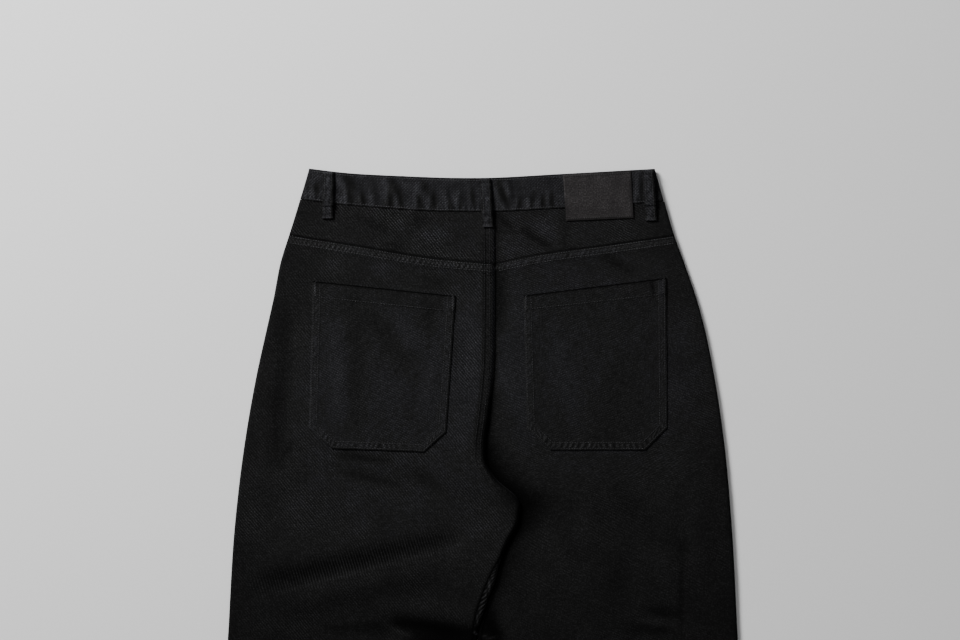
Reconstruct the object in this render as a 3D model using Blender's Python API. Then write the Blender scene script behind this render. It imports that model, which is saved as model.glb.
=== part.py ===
"""Baggy jeans laid flat with the back upwards, built from their cut pieces.

+X runs across to the right as the garment is seen, +Y towards the waist, and the cloth rests on z = 0.
Sizes are in metres. "Down" is a distance from the waistband's corners towards the hems, and "left"
and "right" are the wearer's, which are also the picture's because the back is upwards.
"""

import math
from typing import NamedTuple

import bpy
import numpy as np

# Driving sizes
LENGTH = 1.120
CLOTH = 0.0012
BAND_CLOTH = 0.0020
LAP_CLOTH = 0.0010
HEM_CLOTH = 0.0022
POCKET_CLOTH = 0.0012
LEATHER = 0.0012
GAP = 0.0003
SIDE_SEAM_GAP = 0.0006

# Levels above the floor where the cloth lies flat
BACK_LEVEL = 0.0063
BAND_LEVEL = 0.0074
LEAST_LEVEL = 0.0034
WAIST_LIFT = 0.0016
WAIST_LIFT_ENDS = (0.080, 0.115)

# Edges
OUTER_ROLL = 0.004
UNDER_LIP = 0.012
HEM_DEPTH = 0.014
HEM_STEP = 0.001
OUTER_HEM_RISE = 0.030
SEAM_RIDGE = 0.0005
CROTCH_DOWN = 0.405
FRONT_TURN_DOWNS = (0.401, 0.419)
ARC_STEPS = 3
TOP_STEPS = 12

# Front waist
FRONT_BAND_DROP = 0.026
LAP_HALF = 0.018
LAP_SLOPE = 0.006
FRONT_BAND_STATIONS = (0.090, 0.150)
BACK_BAND_STEPS = 18
BAND_ROW_STEPS = 3
BUTTON_ACROSS = 0.016
# The button's section, from its face on the floor upwards, as (radius, height)
BUTTON_PROFILE = ((0.0070, 0.0), (0.0085, 0.0007), (0.0085, 0.0015), (0.0060, 0.0018))
BUTTON_SIDES = 20
BUTTON_LIFT = 0.0005
BUTTON_LIFT_REACH = 0.025
FRONT_LOOP_ACROSS = 0.112
FRONT_LOOP_WIDTH = 0.013
FRONT_LOOP_LENGTH = 0.050
FRONT_LOOP_THICK = 0.0012

# Front pocket mouth
MOUTH_WIDTH = 0.080
MOUTH_FROM_DOWN = 0.062
MOUTH_TO_DOWN = 0.140
MOUTH_TUCK = 0.014
POCKET_SIDE_OUTER = (0.041, 0.156)
POCKET_SIDE_INNER = (0.062, 0.156)
POCKET_SIDE_STEPS = 5

# Back belt loops and the patch
LOOP_THICK = 0.0022
LOOP_ARCH = 0.0020
LOOP_ARCH_POWER = 0.7
LOOP_TOP_DROP = 0.001
LOOP_SECTION = (-0.5, -0.4, 0.4, 0.5)
LOOP_EDGE_DROP = 0.0005
LOOP_STEPS = 9
PATCH_BEND = 0.009
PATCH_STEPS = (6, 7)


class Side(NamedTuple):
    """One half of the garment, and the way its outer edge lies along x."""

    name: str
    out: int


LEFT = Side("left", -1)
RIGHT = Side("right", 1)


class Outline(NamedTuple):
    """The outer edge of each leg at one distance down."""

    down: float
    left: float
    right: float


OUTLINE = (
    Outline(0.000, -0.2083, 0.2083),
    Outline(0.037, -0.2191, 0.2191),
    Outline(0.080, -0.2324, 0.2315),
    Outline(0.110, -0.2420, 0.2425),
    Outline(0.158, -0.2516, 0.2590),
    Outline(0.185, -0.2577, 0.2665),
    Outline(0.250, -0.2720, 0.2800),
    Outline(0.330, -0.2860, 0.2920),
    Outline(0.430, -0.2980, 0.3010),
    Outline(0.560, -0.3060, 0.3080),
    Outline(0.750, -0.3170, 0.3180),
    Outline(0.950, -0.3270, 0.3270),
    Outline(1.120, -0.3340, 0.3340),
)


class SeatPoint(NamedTuple):
    """Where the seat seam lies across at one distance down."""

    down: float
    across: float


SEAT_SEAM = (
    SeatPoint(0.000, 0.0157),
    SeatPoint(0.120, 0.0157),
    SeatPoint(0.180, 0.0155),
    SeatPoint(0.241, 0.0144),
    SeatPoint(0.300, 0.0085),
    SeatPoint(0.335, 0.0045),
    SeatPoint(0.354, 0.0055),
    SeatPoint(0.376, 0.0193),
    SeatPoint(0.3955, 0.0415),
    SeatPoint(0.405, 0.0470),
)


class InnerLeg(NamedTuple):
    """The inner edge of each leg, and how far its inseam is rolled up over that edge."""

    down: float
    left: float
    right: float
    left_seam: float
    right_seam: float


INNER_LEG = (
    InnerLeg(0.405, 0.0470, 0.0475, 0.0000, 0.0000),
    InnerLeg(0.429, 0.0421, 0.0427, 0.0000, 0.0040),
    InnerLeg(0.4485, 0.0313, 0.0320, 0.0005, 0.0060),
    InnerLeg(0.4605, 0.0262, 0.0270, 0.0030, 0.0060),
    InnerLeg(0.4834, 0.0193, 0.0202, 0.0100, 0.0060),
    InnerLeg(0.500, 0.0150, 0.0162, 0.0130, 0.0060),
    InnerLeg(0.516, 0.0084, 0.0096, 0.0125, 0.0060),
    InnerLeg(0.533, 0.0024, 0.0037, 0.0120, 0.0060),
    InnerLeg(0.550, -0.0030, -0.0018, 0.0105, 0.0060),
    InnerLeg(0.570, -0.0060, -0.0046, 0.0090, 0.0060),
    InnerLeg(0.590, -0.0085, -0.0040, 0.0080, 0.0060),
    InnerLeg(0.620, -0.0140, 0.0120, 0.0080, 0.0060),
    InnerLeg(0.660, -0.0220, 0.0310, 0.0080, 0.0060),
    InnerLeg(0.750, -0.0380, 0.0510, 0.0080, 0.0060),
    InnerLeg(0.950, -0.0620, 0.0700, 0.0080, 0.0060),
    InnerLeg(1.120, -0.0800, 0.0840, 0.0080, 0.0060),
)


class InnerRoll(NamedTuple):
    """The cloth beside the seat seam and the inseams at one distance down.

    The left side swells by left_rise and the right side dips, each fading over its reach. The edge
    columns are the heights of the cloth's edge, and the roll columns how soon it turns down to them.
    """

    down: float
    left_rise: float
    left_reach: float
    left_edge: float
    left_roll: float
    right_dip: float
    right_reach: float
    right_edge: float
    right_roll: float


INNER_ROLL = (
    InnerRoll(0.000, 0.0000, 0.030, 0.0062, 0.004, 0.0000, 0.020, 0.0062, 0.003),
    InnerRoll(0.045, 0.0004, 0.030, 0.0061, 0.005, 0.0001, 0.016, 0.0061, 0.003),
    InnerRoll(0.066, 0.0010, 0.030, 0.0060, 0.006, 0.0002, 0.016, 0.0060, 0.003),
    InnerRoll(0.085, 0.0016, 0.030, 0.0056, 0.006, 0.0007, 0.016, 0.0056, 0.003),
    InnerRoll(0.120, 0.0024, 0.034, 0.0049, 0.007, 0.0013, 0.018, 0.0049, 0.003),
    InnerRoll(0.200, 0.0030, 0.038, 0.0047, 0.007, 0.0016, 0.022, 0.0047, 0.003),
    InnerRoll(0.320, 0.0038, 0.044, 0.0045, 0.007, 0.0018, 0.030, 0.0045, 0.003),
    InnerRoll(0.380, 0.0050, 0.055, 0.0043, 0.007, 0.0021, 0.042, 0.0042, 0.003),
    InnerRoll(0.405, 0.0052, 0.055, 0.0045, 0.007, 0.0022, 0.048, 0.0036, 0.003),
    InnerRoll(0.430, 0.0044, 0.050, 0.0048, 0.006, 0.0022, 0.048, 0.0026, 0.003),
    InnerRoll(0.500, 0.0028, 0.045, 0.0044, 0.005, 0.0016, 0.042, 0.0026, 0.003),
    InnerRoll(0.560, 0.0014, 0.040, 0.0038, 0.005, 0.0006, 0.036, 0.0029, 0.003),
    InnerRoll(0.700, 0.0000, 0.040, 0.0032, 0.004, 0.0000, 0.036, 0.0031, 0.004),
    InnerRoll(1.120, 0.0000, 0.040, 0.0031, 0.004, 0.0000, 0.036, 0.0031, 0.004),
)


class Fold(NamedTuple):
    """A soft ridge, or a trough where rise is negative, between two places on one side's back."""

    side: Side
    from_across: float
    from_down: float
    to_across: float
    to_down: float
    half_width: float
    rise: float


FOLDS = (
    # The long slanting trough across the left thigh, with the ridge below it
    Fold(LEFT, -0.262, 0.505, -0.040, 0.450, 0.015, -0.0026),
    Fold(LEFT, -0.262, 0.478, -0.060, 0.425, 0.022, 0.0012),
    Fold(LEFT, -0.250, 0.528, -0.030, 0.470, 0.020, 0.0022),
    # The upright hollow between the left pocket and the outer edge
    Fold(LEFT, -0.231, 0.190, -0.246, 0.360, 0.013, -0.0013),
    Fold(LEFT, -0.252, 0.250, -0.262, 0.380, 0.012, 0.0008),
    # Under the left pocket
    Fold(LEFT, -0.166, 0.364, -0.075, 0.384, 0.014, -0.0009),
    # The deep crossing fold low on the left thigh
    Fold(LEFT, -0.125, 0.527, -0.016, 0.540, 0.014, 0.0028),
    Fold(LEFT, -0.105, 0.560, -0.012, 0.572, 0.014, -0.0027),
    Fold(LEFT, -0.150, 0.610, -0.040, 0.625, 0.026, 0.0022),
    # The left shin and knee
    Fold(LEFT, -0.300, 0.640, -0.160, 0.700, 0.028, 0.0018),
    Fold(LEFT, -0.250, 0.690, -0.080, 0.760, 0.024, -0.0014),
    Fold(LEFT, -0.240, 0.860, -0.120, 0.900, 0.032, 0.0020),
    Fold(LEFT, -0.290, 0.985, -0.190, 1.010, 0.026, 0.0016),
    # The right yoke and the slanting hollows under it
    Fold(RIGHT, 0.052, 0.074, 0.084, 0.096, 0.009, -0.0010),
    Fold(RIGHT, 0.148, 0.107, 0.179, 0.124, 0.010, -0.0009),
    # The hollow beside the right inseam
    Fold(RIGHT, 0.006, 0.535, 0.026, 0.572, 0.011, -0.0022),
    # The right thigh
    Fold(RIGHT, 0.190, 0.372, 0.165, 0.470, 0.024, -0.0012),
    Fold(RIGHT, 0.225, 0.400, 0.232, 0.560, 0.018, 0.0012),
    Fold(RIGHT, 0.090, 0.430, 0.110, 0.540, 0.032, 0.0012),
    Fold(RIGHT, 0.200, 0.536, 0.240, 0.545, 0.010, -0.0009),
    Fold(RIGHT, 0.185, 0.556, 0.232, 0.560, 0.010, -0.0009),
    # The right shin and knee
    Fold(RIGHT, 0.110, 0.610, 0.250, 0.650, 0.028, 0.0018),
    Fold(RIGHT, 0.080, 0.720, 0.230, 0.690, 0.024, -0.0014),
    Fold(RIGHT, 0.140, 0.820, 0.280, 0.860, 0.030, 0.0020),
    Fold(RIGHT, 0.110, 0.960, 0.220, 1.000, 0.028, 0.0016),
)


class BackLine(NamedTuple):
    """A line across the back: how far down it lies at one place across."""

    across: float
    down: float


BAND_TOP = (
    BackLine(-0.2083, 0.0000),
    BackLine(-0.1710, 0.0046),
    BackLine(-0.0987, 0.0090),
    BackLine(-0.0020, 0.0114),
    BackLine(0.0951, 0.0066),
    BackLine(0.1790, 0.0020),
    BackLine(0.2083, 0.0004),
)
BAND_FOOT = (
    BackLine(-0.2191, 0.0370),
    BackLine(-0.1758, 0.0427),
    BackLine(-0.1192, 0.0476),
    BackLine(-0.0650, 0.0510),
    BackLine(0.0157, 0.0518),
    BackLine(0.0987, 0.0476),
    BackLine(0.1824, 0.0427),
    BackLine(0.2191, 0.0394),
)
YOKE_SEAM = {
    "left": (
        BackLine(-0.2330, 0.0800),
        BackLine(-0.1577, 0.0921),
        BackLine(-0.0566, 0.1086),
        BackLine(0.0157, 0.1150),
    ),
    "right": (
        BackLine(0.0157, 0.1150),
        BackLine(0.0542, 0.1066),
        BackLine(0.1613, 0.0909),
        BackLine(0.2315, 0.0808),
    ),
}


class Pocket(NamedTuple):
    """A back pocket's corners, each as (across, down), clockwise from the top left."""

    side: Side
    top_left: tuple
    top_right: tuple
    lower_right: tuple
    foot_right: tuple
    foot_left: tuple
    lower_left: tuple


POCKETS = (
    Pocket(
        LEFT, (-0.2035, 0.1355), (-0.0319, 0.1535), (-0.0433, 0.3173),
        (-0.0698, 0.3413), (-0.1806, 0.3371), (-0.2083, 0.3124),
    ),
    Pocket(
        RIGHT, (0.0500, 0.1529), (0.2215, 0.1318), (0.2227, 0.3124),
        (0.1963, 0.3389), (0.0819, 0.3389), (0.0542, 0.3124),
    ),
)


class Loop(NamedTuple):
    """A back belt loop: the middle of its top and bottom ends, and its width."""

    name: str
    top_across: float
    foot_across: float
    foot_down: float
    width: float


BACK_LOOPS = (
    Loop("left", -0.1846, -0.1858, 0.0600, 0.0132),
    Loop("centre", 0.0040, 0.0072, 0.0705, 0.0130),
    Loop("right", 0.1993, 0.2037, 0.0625, 0.0140),
)

# The patch's corners, each as (across, down), clockwise from the top left
PATCH = ((0.0975, 0.0078), (0.1794, 0.0030), (0.1824, 0.0596), (0.1011, 0.0632))

# Rows of the leg panels, as (from, to, steps) measured down the inner edge
BACK_ROWS = ((0.115, 0.330, 8), (0.330, 0.405, 5), (0.405, 0.600, 11), (0.600, 1.105, 9))
FRONT_TOP_ROWS = (0.079, 0.104, 0.128, 0.145, 0.154)
FRONT_ROWS = ((0.160, 0.330, 3), (0.330, 0.405, 2), (0.405, 0.600, 11), (0.600, 1.105, 9))
YOKE_STEPS = 3
POCKET_STEPS = (9, 8)


def column(table, name):
    """One named column of a table."""
    return np.array([getattr(row, name) for row in table])


def smooth(at, places, values):
    """A smooth curve through the values at their places, held level past both ends."""
    at = np.clip(at, places[0], places[-1])
    slopes = np.gradient(values, places)
    low = np.clip(np.searchsorted(places, at, side="right") - 1, 0, len(places) - 2)
    step = places[low + 1] - places[low]
    u = (at - places[low]) / step
    start = (1 + 2 * u) * (1 - u) ** 2 * values[low] + u * (1 - u) ** 2 * step * slopes[low]
    end = u**2 * (3 - 2 * u) * values[low + 1] - u**2 * (1 - u) * step * slopes[low + 1]
    return start + end


def on(table, key, name, at):
    """The smooth value of a table's column at a place along its key column."""
    return smooth(at, column(table, key), column(table, name))


def ease(value, low, high):
    """Rises softly from 0 at low to 1 at high."""
    u = np.clip((value - low) / (high - low), 0, 1)
    return u * u * (3 - 2 * u)


def outer_edge(side, down):
    """The side's silhouette."""
    return on(OUTLINE, "down", side.name, down)


def inner_edge(side, down):
    """The seat seam above the crotch, and the inner edge of the side's leg below it."""
    seat = on(SEAT_SEAM, "down", "across", down) + (GAP if side is RIGHT else 0)
    leg = on(INNER_LEG, "down", side.name, down)
    return np.where(down < CROTCH_DOWN, seat, leg)


def yoke_seam(side, across):
    """How far down the yoke seam lies."""
    return on(YOKE_SEAM[side.name], "across", "down", across)


def fold_rise(fold, across, down):
    """A fold's height: a bell across its line, lower towards both ends and fading past them."""
    run = np.array([fold.to_across - fold.from_across, fold.to_down - fold.from_down])
    along = (across - fold.from_across) * run[0] + (down - fold.from_down) * run[1]
    along = np.clip(along / (run @ run), 0, 1)
    away = np.hypot(
        across - fold.from_across - along * run[0],
        down - fold.from_down - along * run[1],
    )
    crest = 1 - 0.45 * (2 * along - 1) ** 2
    return fold.rise * crest * np.exp(-((away / fold.half_width) ** 2))


def back_height(side, across, down):
    """The outer face of the back's yokes and panels above the floor."""
    inward = (across - inner_edge(side, down)) * side.out
    swell = "left_rise" if side is LEFT else "right_dip"
    rise = on(INNER_ROLL, "down", swell, down) * -side.out
    reach = on(INNER_ROLL, "down", side.name + "_reach", down)
    height = BACK_LEVEL + rise * np.exp(-((inward / reach) ** 2))
    for fold in FOLDS:
        if fold.side is side:
            height = height + fold_rise(fold, across, down)
    return np.maximum(height, LEAST_LEVEL)


def floor_height(across, down):
    """The outer face of the front above the floor: it lies flat, and lifts over the button and loops."""
    bump = BUTTON_LIFT * np.exp(-(((across - BUTTON_ACROSS) / BUTTON_LIFT_REACH) ** 2))
    return (WAIST_LIFT + bump) * (1 - ease(down, *WAIST_LIFT_ENDS))


def front_line(table, across):
    """How far down a waistband edge lies at the front, which hangs lower than the back between its ends."""
    ends = (table[0], table[-1])
    level = np.interp(across, [end.across for end in ends], [end.down for end in ends])
    return level + FRONT_BAND_DROP * np.clip(1 - (across / ends[1].across) ** 2, 0, 1)


def waist_surface(across, down):
    """The top of whatever the belt loops and the patch lie on."""
    side = LEFT if across < on(SEAT_SEAM, "down", "across", down) else RIGHT
    if down < on(BAND_FOOT, "across", "down", across) + GAP:
        return BAND_LEVEL
    return float(back_height(side, across, down))


def rolled(wrap, roll, top, edge, floor):
    """A place on a rolled edge, as its distance in from the edge and its height.

    Wrap is measured along the cloth from the outermost line, positive over the top and negative
    under it. The edge turns through a quarter ellipse on each side of that line.
    """
    quarter = roll * math.pi / 2
    angle = np.minimum(np.abs(wrap) / quarter, 1) * math.pi / 2
    inward = roll * (1 - np.cos(angle)) + np.maximum(np.abs(wrap) - quarter, 0)
    goal = np.where(wrap > 0, top, floor)
    return inward, edge + (goal - edge) * np.sin(angle)


def outer_wraps():
    """Places round a back piece's outer edge, from its lip under the garment to its top."""
    quarter = OUTER_ROLL * math.pi / 2
    arc = np.linspace(-quarter, quarter, 2 * ARC_STEPS + 1)
    lip = -quarter - (UNDER_LIP - OUTER_ROLL)
    return np.concatenate([[lip], arc])


def back_row(side, outer_down, inner_down, sag):
    """One row of points across a back piece, from its lip round the outer edge to the inner seam."""
    wraps = outer_wraps()
    x_edge = outer_edge(side, outer_down)
    inward, _ = rolled(wraps, OUTER_ROLL, 0, 0, 0)
    x_outer = x_edge - side.out * inward
    top = back_height(side, x_outer, outer_down)
    floor = floor_height(x_outer, outer_down)
    _, z_outer = rolled(wraps, OUTER_ROLL, top, (top + floor) / 2, floor)
    back_foot = on(BAND_FOOT, "across", "down", x_outer)
    band_foot = np.where(wraps < 0, front_line(BAND_FOOT, x_outer), back_foot)
    down_outer = np.maximum(outer_down, band_foot + GAP)

    roll = on(INNER_ROLL, "down", side.name + "_roll", inner_down)
    edge = on(INNER_ROLL, "down", side.name + "_edge", inner_down)
    start = on(INNER_LEG, "down", side.name + "_seam", inner_down)
    wraps = start + np.linspace(roll * math.pi / 2, 0, ARC_STEPS + 1)
    inward, _ = rolled(wraps, roll, 0, 0, 0)
    x_inner = inner_edge(side, inner_down) + side.out * inward
    top = back_height(side, x_inner, inner_down)
    _, z_inner = rolled(wraps, roll, top, edge, 0)

    share = np.linspace(0, 1, TOP_STEPS + 1)[1:-1]
    x_top = x_outer[-1] + share * (x_inner[0] - x_outer[-1])
    down_top = outer_down + share * (inner_down - outer_down) + sag(x_top)
    z_top = back_height(side, x_top, down_top)
    x = np.concatenate([x_outer, x_top, x_inner])
    down = np.concatenate([down_outer, down_top, np.full(len(x_inner), inner_down)])
    return np.stack([x, LENGTH / 2 - down, np.concatenate([z_outer, z_top, z_inner])], axis=1)


def stations(runs):
    """The distances down of the rows, from runs of (from, to, steps), with the hem's rows added."""
    rows = [np.linspace(low, high, steps, endpoint=False) for low, high, steps in runs]
    turn = LENGTH - HEM_DEPTH
    return np.concatenate([*rows, [turn - HEM_STEP, turn, LENGTH]])


def hem_thickness(downs, columns):
    """The wall at each row and column: single cloth, and the turned-up hem at the foot."""
    rows = np.where(downs > LENGTH - HEM_DEPTH - HEM_STEP / 2, HEM_CLOTH, CLOTH)
    return np.repeat(rows[:, None], columns, axis=1)


def outer_down_for(inner_down, inner_top, outer_top):
    """Rows slant: their outer end is higher than their inner end, at the yoke and at the hem."""
    share = (inner_down - inner_top) / (LENGTH - inner_top)
    return outer_top + share * (LENGTH - OUTER_HEM_RISE - outer_top)


def back_panel(side):
    """A back leg panel, from the yoke seam to the hem."""
    downs = stations(BACK_ROWS)
    inner_top = float(yoke_seam(side, inner_edge(side, downs[0])))
    outer_top = float(yoke_seam(side, outer_edge(side, OUTLINE[2].down)))
    downs[0] = inner_top + GAP / 2
    rows = []
    for down in downs:
        fade = ((LENGTH - down) / (LENGTH - inner_top)) ** 6
        outer_down = outer_down_for(down, inner_top, outer_top) + GAP / 2
        ends = (outer_edge(side, outer_down), inner_edge(side, down))

        def sag(x, ends=ends, fade=fade):
            share = (x - ends[0]) / (ends[1] - ends[0])
            straight = outer_top + share * (inner_top - outer_top)
            return fade * (yoke_seam(side, x) - straight)

        rows.append(back_row(side, outer_down, down, sag))
    grid = np.array(rows)
    grid[0, outer_wraps().size :, 2] += SEAM_RIDGE
    return wall("back_panel_" + side.name, grid, hem_thickness(downs, grid.shape[1]), DENIM)


def back_yoke(side):
    """A back yoke, between the waistband and the yoke seam."""
    rows = []
    for share in np.linspace(0, 1, YOKE_STEPS + 1):

        def level(x, share=share):
            high = on(BAND_FOOT, "across", "down", x) + GAP / 2
            low = yoke_seam(side, x) - GAP / 2
            return high + share * (low - high)

        waist, hip = OUTLINE[1].down, OUTLINE[2].down
        outer_down = float(level(outer_edge(side, waist + share * (hip - waist))))
        inner_down = float(level(inner_edge(side, 0.0)))
        ends = (outer_edge(side, outer_down), inner_edge(side, inner_down))

        def sag(x, ends=ends, downs=(outer_down, inner_down), level=level):
            part = (x - ends[0]) / (ends[1] - ends[0])
            return level(x) - (downs[0] + part * (downs[1] - downs[0]))

        rows.append(back_row(side, outer_down, inner_down, sag))
    return wall("back_yoke_" + side.name, np.array(rows), CLOTH, DENIM)


def front_row(side, outer_down, inner_down):
    """One row of points across a front piece, from its side seam to the centre or the inseam."""
    roll = on(INNER_ROLL, "down", side.name + "_roll", inner_down)
    edge = on(INNER_ROLL, "down", side.name + "_edge", inner_down)
    quarter = roll * math.pi / 2
    end = on(INNER_LEG, "down", side.name + "_seam", inner_down) - GAP
    wraps = np.linspace(-quarter, end, 2 * ARC_STEPS)
    x_edge = inner_edge(side, inner_down)
    inward, _ = rolled(wraps, roll, 0, 0, 0)
    top = back_height(side, x_edge + side.out * inward, inner_down)
    _, height = rolled(wraps, roll, top, edge, 0)
    turned = ease(inner_down, *FRONT_TURN_DOWNS)
    flat = (end - wraps) + GAP
    floor = floor_height(x_edge + side.out * flat, inner_down)
    x_inner = x_edge + side.out * (turned * inward + (1 - turned) * flat)
    z_inner = turned * height + (1 - turned) * floor

    cut_in = UNDER_LIP + SIDE_SEAM_GAP + mouth_width(outer_down)
    x_outer = outer_edge(side, outer_down) - side.out * cut_in
    share = np.linspace(0, 1, 5)[:-1]
    x_flat = x_outer + share * (x_inner[0] - x_outer)
    down_flat = outer_down + share * (inner_down - outer_down)
    z_flat = floor_height(x_flat, down_flat)
    down = np.concatenate([down_flat, np.full(len(x_inner), inner_down)])
    x = np.concatenate([x_flat, x_inner])
    return np.stack([x, LENGTH / 2 - down, np.concatenate([z_flat, z_inner])], axis=1)


def mouth_width(down):
    """How far the front pocket's curved mouth cuts into the front panel."""
    deep = (down - MOUTH_FROM_DOWN) / (MOUTH_TO_DOWN - MOUTH_FROM_DOWN)
    return MOUTH_WIDTH * np.sqrt(np.clip(1 - np.clip(deep, 0, 1) ** 2, 0, 1))


def front_panel(side):
    """A front leg panel, from the waistband to the hem."""
    downs = np.concatenate([FRONT_TOP_ROWS, stations(FRONT_ROWS)])
    top = downs[0]
    rows = []
    for down in downs:
        outer_down = outer_down_for(down, top, MOUTH_FROM_DOWN)
        rows.append(front_row(side, outer_down, down))
    grid = np.array(rows)
    return wall("front_panel_" + side.name, grid, hem_thickness(downs, grid.shape[1]), DENIM, facing=-1)


def waistband():
    """One long strip: from its under end at the front, round the back, to the end lapped over it."""
    quarter = OUTER_ROLL * math.pi / 2
    half_turn = np.linspace(-quarter, quarter, 2 * ARC_STEPS + 1)
    inward, turn_height = rolled(half_turn, OUTER_ROLL, 1.0, 0.5, 0.0)
    lap = BUTTON_ACROSS + LAP_HALF
    free = BUTTON_ACROSS - LAP_HALF
    half = OUTLINE[0].right
    under = [free, BUTTON_ACROSS, lap + GAP, lap + LAP_SLOPE, *FRONT_BAND_STATIONS]
    over = [*(-x for x in FRONT_BAND_STATIONS[::-1]), free - LAP_SLOPE, free - GAP, BUTTON_ACROSS, lap]
    back = np.linspace(half - OUTER_ROLL, -half + OUTER_ROLL, BACK_BAND_STEPS + 1)[1:-1]
    across = np.concatenate([under, half - inward, back, -half + inward[::-1], over])
    front = np.zeros(len(under))
    level = np.concatenate([front, turn_height, np.ones(len(back)), turn_height[::-1], front])
    lifted = np.zeros(len(across))
    lifted[:3] = LAP_CLOTH + GAP
    thick = np.full(len(across), BAND_CLOTH)
    thick[:3] = LAP_CLOTH
    thick[-3:] = LAP_CLOTH
    spread = OUTLINE[1].right / OUTLINE[0].right
    rows = []
    for share in np.linspace(0, 1, BAND_ROW_STEPS + 1):
        x = across * (1 + share * (spread - 1))
        back_down = on(BAND_TOP, "across", "down", x)
        back_down = back_down + share * (on(BAND_FOOT, "across", "down", x) - GAP / 2 - back_down)
        front_top, front_foot = front_line(BAND_TOP, x), front_line(BAND_FOOT, x) - GAP / 2
        front_down = front_top + share * (front_foot - front_top)
        down = front_down + level * (back_down - front_down)
        floor = floor_height(x, down)
        z = floor + lifted + level * (BAND_LEVEL - floor)
        rows.append(np.stack([x, LENGTH / 2 - down, z], axis=1))
    grid = np.array(rows)
    return wall("waistband", grid, np.repeat(thick[None, :], len(grid), axis=0), DENIM)


def back_pocket(pocket):
    """A back pocket, lying on its panel: straight sides, and a foot with its corners cut off."""
    corners = np.array([pocket.lower_left, pocket.foot_left, pocket.foot_right, pocket.lower_right])
    width = corners[-1, 0] - corners[0, 0]
    shares = (corners[:, 0] - corners[0, 0]) / width
    inside = np.linspace(shares[1], shares[2], POCKET_STEPS[0] - 1)
    columns = np.concatenate([[0.0], inside, [1.0]])
    foot = np.stack([np.interp(columns, shares, corners[:, axis]) for axis in (0, 1)], axis=1)
    ends = np.array([pocket.top_left, pocket.top_right])
    mouth = ends[0] + columns[:, None] * (ends[1] - ends[0])
    rows = []
    for share in np.linspace(0, 1, POCKET_STEPS[1] + 1):
        across, down = (mouth + share * (foot - mouth)).T
        z = back_height(pocket.side, across, down) + GAP + POCKET_CLOTH
        rows.append(np.stack([across, LENGTH / 2 - down, z], axis=1))
    return wall("back_pocket_" + pocket.side.name, np.array(rows), POCKET_CLOTH, DENIM)


def pocket_side(side):
    """The piece behind a front pocket's mouth, tucked under the front panel and the side seam."""
    rows = []
    outer_downs = np.linspace(*POCKET_SIDE_OUTER, POCKET_SIDE_STEPS + 1)
    inner_downs = np.linspace(*POCKET_SIDE_INNER, POCKET_SIDE_STEPS + 1)
    for outer_down, inner_down in zip(outer_downs, inner_downs):
        reach = mouth_width(outer_down) + UNDER_LIP + MOUTH_TUCK
        near = outer_edge(side, outer_down) - side.out * (UNDER_LIP - OUTER_ROLL)
        far = outer_edge(side, outer_down) - side.out * reach
        part = np.linspace(0, 1, POCKET_SIDE_STEPS + 1)
        across = near + part * (far - near)
        least = front_line(BAND_FOOT, across) + GAP
        down = np.maximum(outer_down + part * (inner_down - outer_down), least)
        z = floor_height(across, down) + CLOTH + GAP
        rows.append(np.stack([across, LENGTH / 2 - down, z], axis=1))
    return wall("pocket_side_" + side.name, np.array(rows), CLOTH, DENIM, facing=-1)


def back_loop(loop):
    """A belt loop across the waistband: sewn down at both ends and standing proud between them."""
    top_down = float(on(BAND_TOP, "across", "down", loop.top_across)) + LOOP_TOP_DROP
    edge_drop = LOOP_EDGE_DROP * np.array([1, 0, 0, 1])
    rows = []
    for share in np.linspace(0, 1, LOOP_STEPS + 1):
        middle = loop.top_across + share * (loop.foot_across - loop.top_across)
        down = top_down + share * (loop.foot_down - top_down)
        arch = LOOP_ARCH * math.sin(math.pi * min(share, 1 - share)) ** LOOP_ARCH_POWER
        edges = [middle - loop.width / 2, middle, middle + loop.width / 2]
        under = max(waist_surface(x, down) for x in edges) + GAP + arch
        across = middle + loop.width * np.array(LOOP_SECTION)
        z = under + LOOP_THICK - edge_drop
        rows.append(np.stack([across, np.full(4, LENGTH / 2 - down), z], axis=1))
    return wall("belt_loop_back_" + loop.name, np.array(rows), LOOP_THICK - LOOP_EDGE_DROP, DENIM)


def front_loop(side):
    """A belt loop under the garment, pressed flat between the waistband and the floor."""
    middle = side.out * FRONT_LOOP_ACROSS
    top_down = float(front_line(BAND_TOP, middle)) + LOOP_TOP_DROP
    rows = []
    for share in np.linspace(0, 1, 4):
        down = top_down + share * FRONT_LOOP_LENGTH
        across = middle + FRONT_LOOP_WIDTH * np.array([-0.5, 0.0, 0.5])
        rows.append(np.stack([across, np.full(3, LENGTH / 2 - down), np.zeros(3)], axis=1))
    return wall("belt_loop_front_" + side.name, np.array(rows), FRONT_LOOP_THICK, DENIM, facing=-1)


def leather_patch():
    """The bare leather patch over the waistband, its foot bent down onto the yoke."""
    corners = np.array(PATCH)
    part = np.linspace(0, 1, PATCH_STEPS[0] + 1)[:, None]
    top = corners[0] + part * (corners[1] - corners[0])
    foot = corners[3] + part * (corners[2] - corners[3])
    rows = []
    for share in np.linspace(0, 1, PATCH_STEPS[1] + 1):
        across, down = (top + share * (foot - top)).T
        under = [max(waist_surface(x, d), waist_surface(x, d - PATCH_BEND)) for x, d in zip(across, down)]
        z = np.array(under) + GAP + LEATHER
        rows.append(np.stack([across, LENGTH / 2 - down, z], axis=1))
    return wall("leather_patch", np.array(rows), LEATHER, LEATHER_FINISH)


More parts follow.
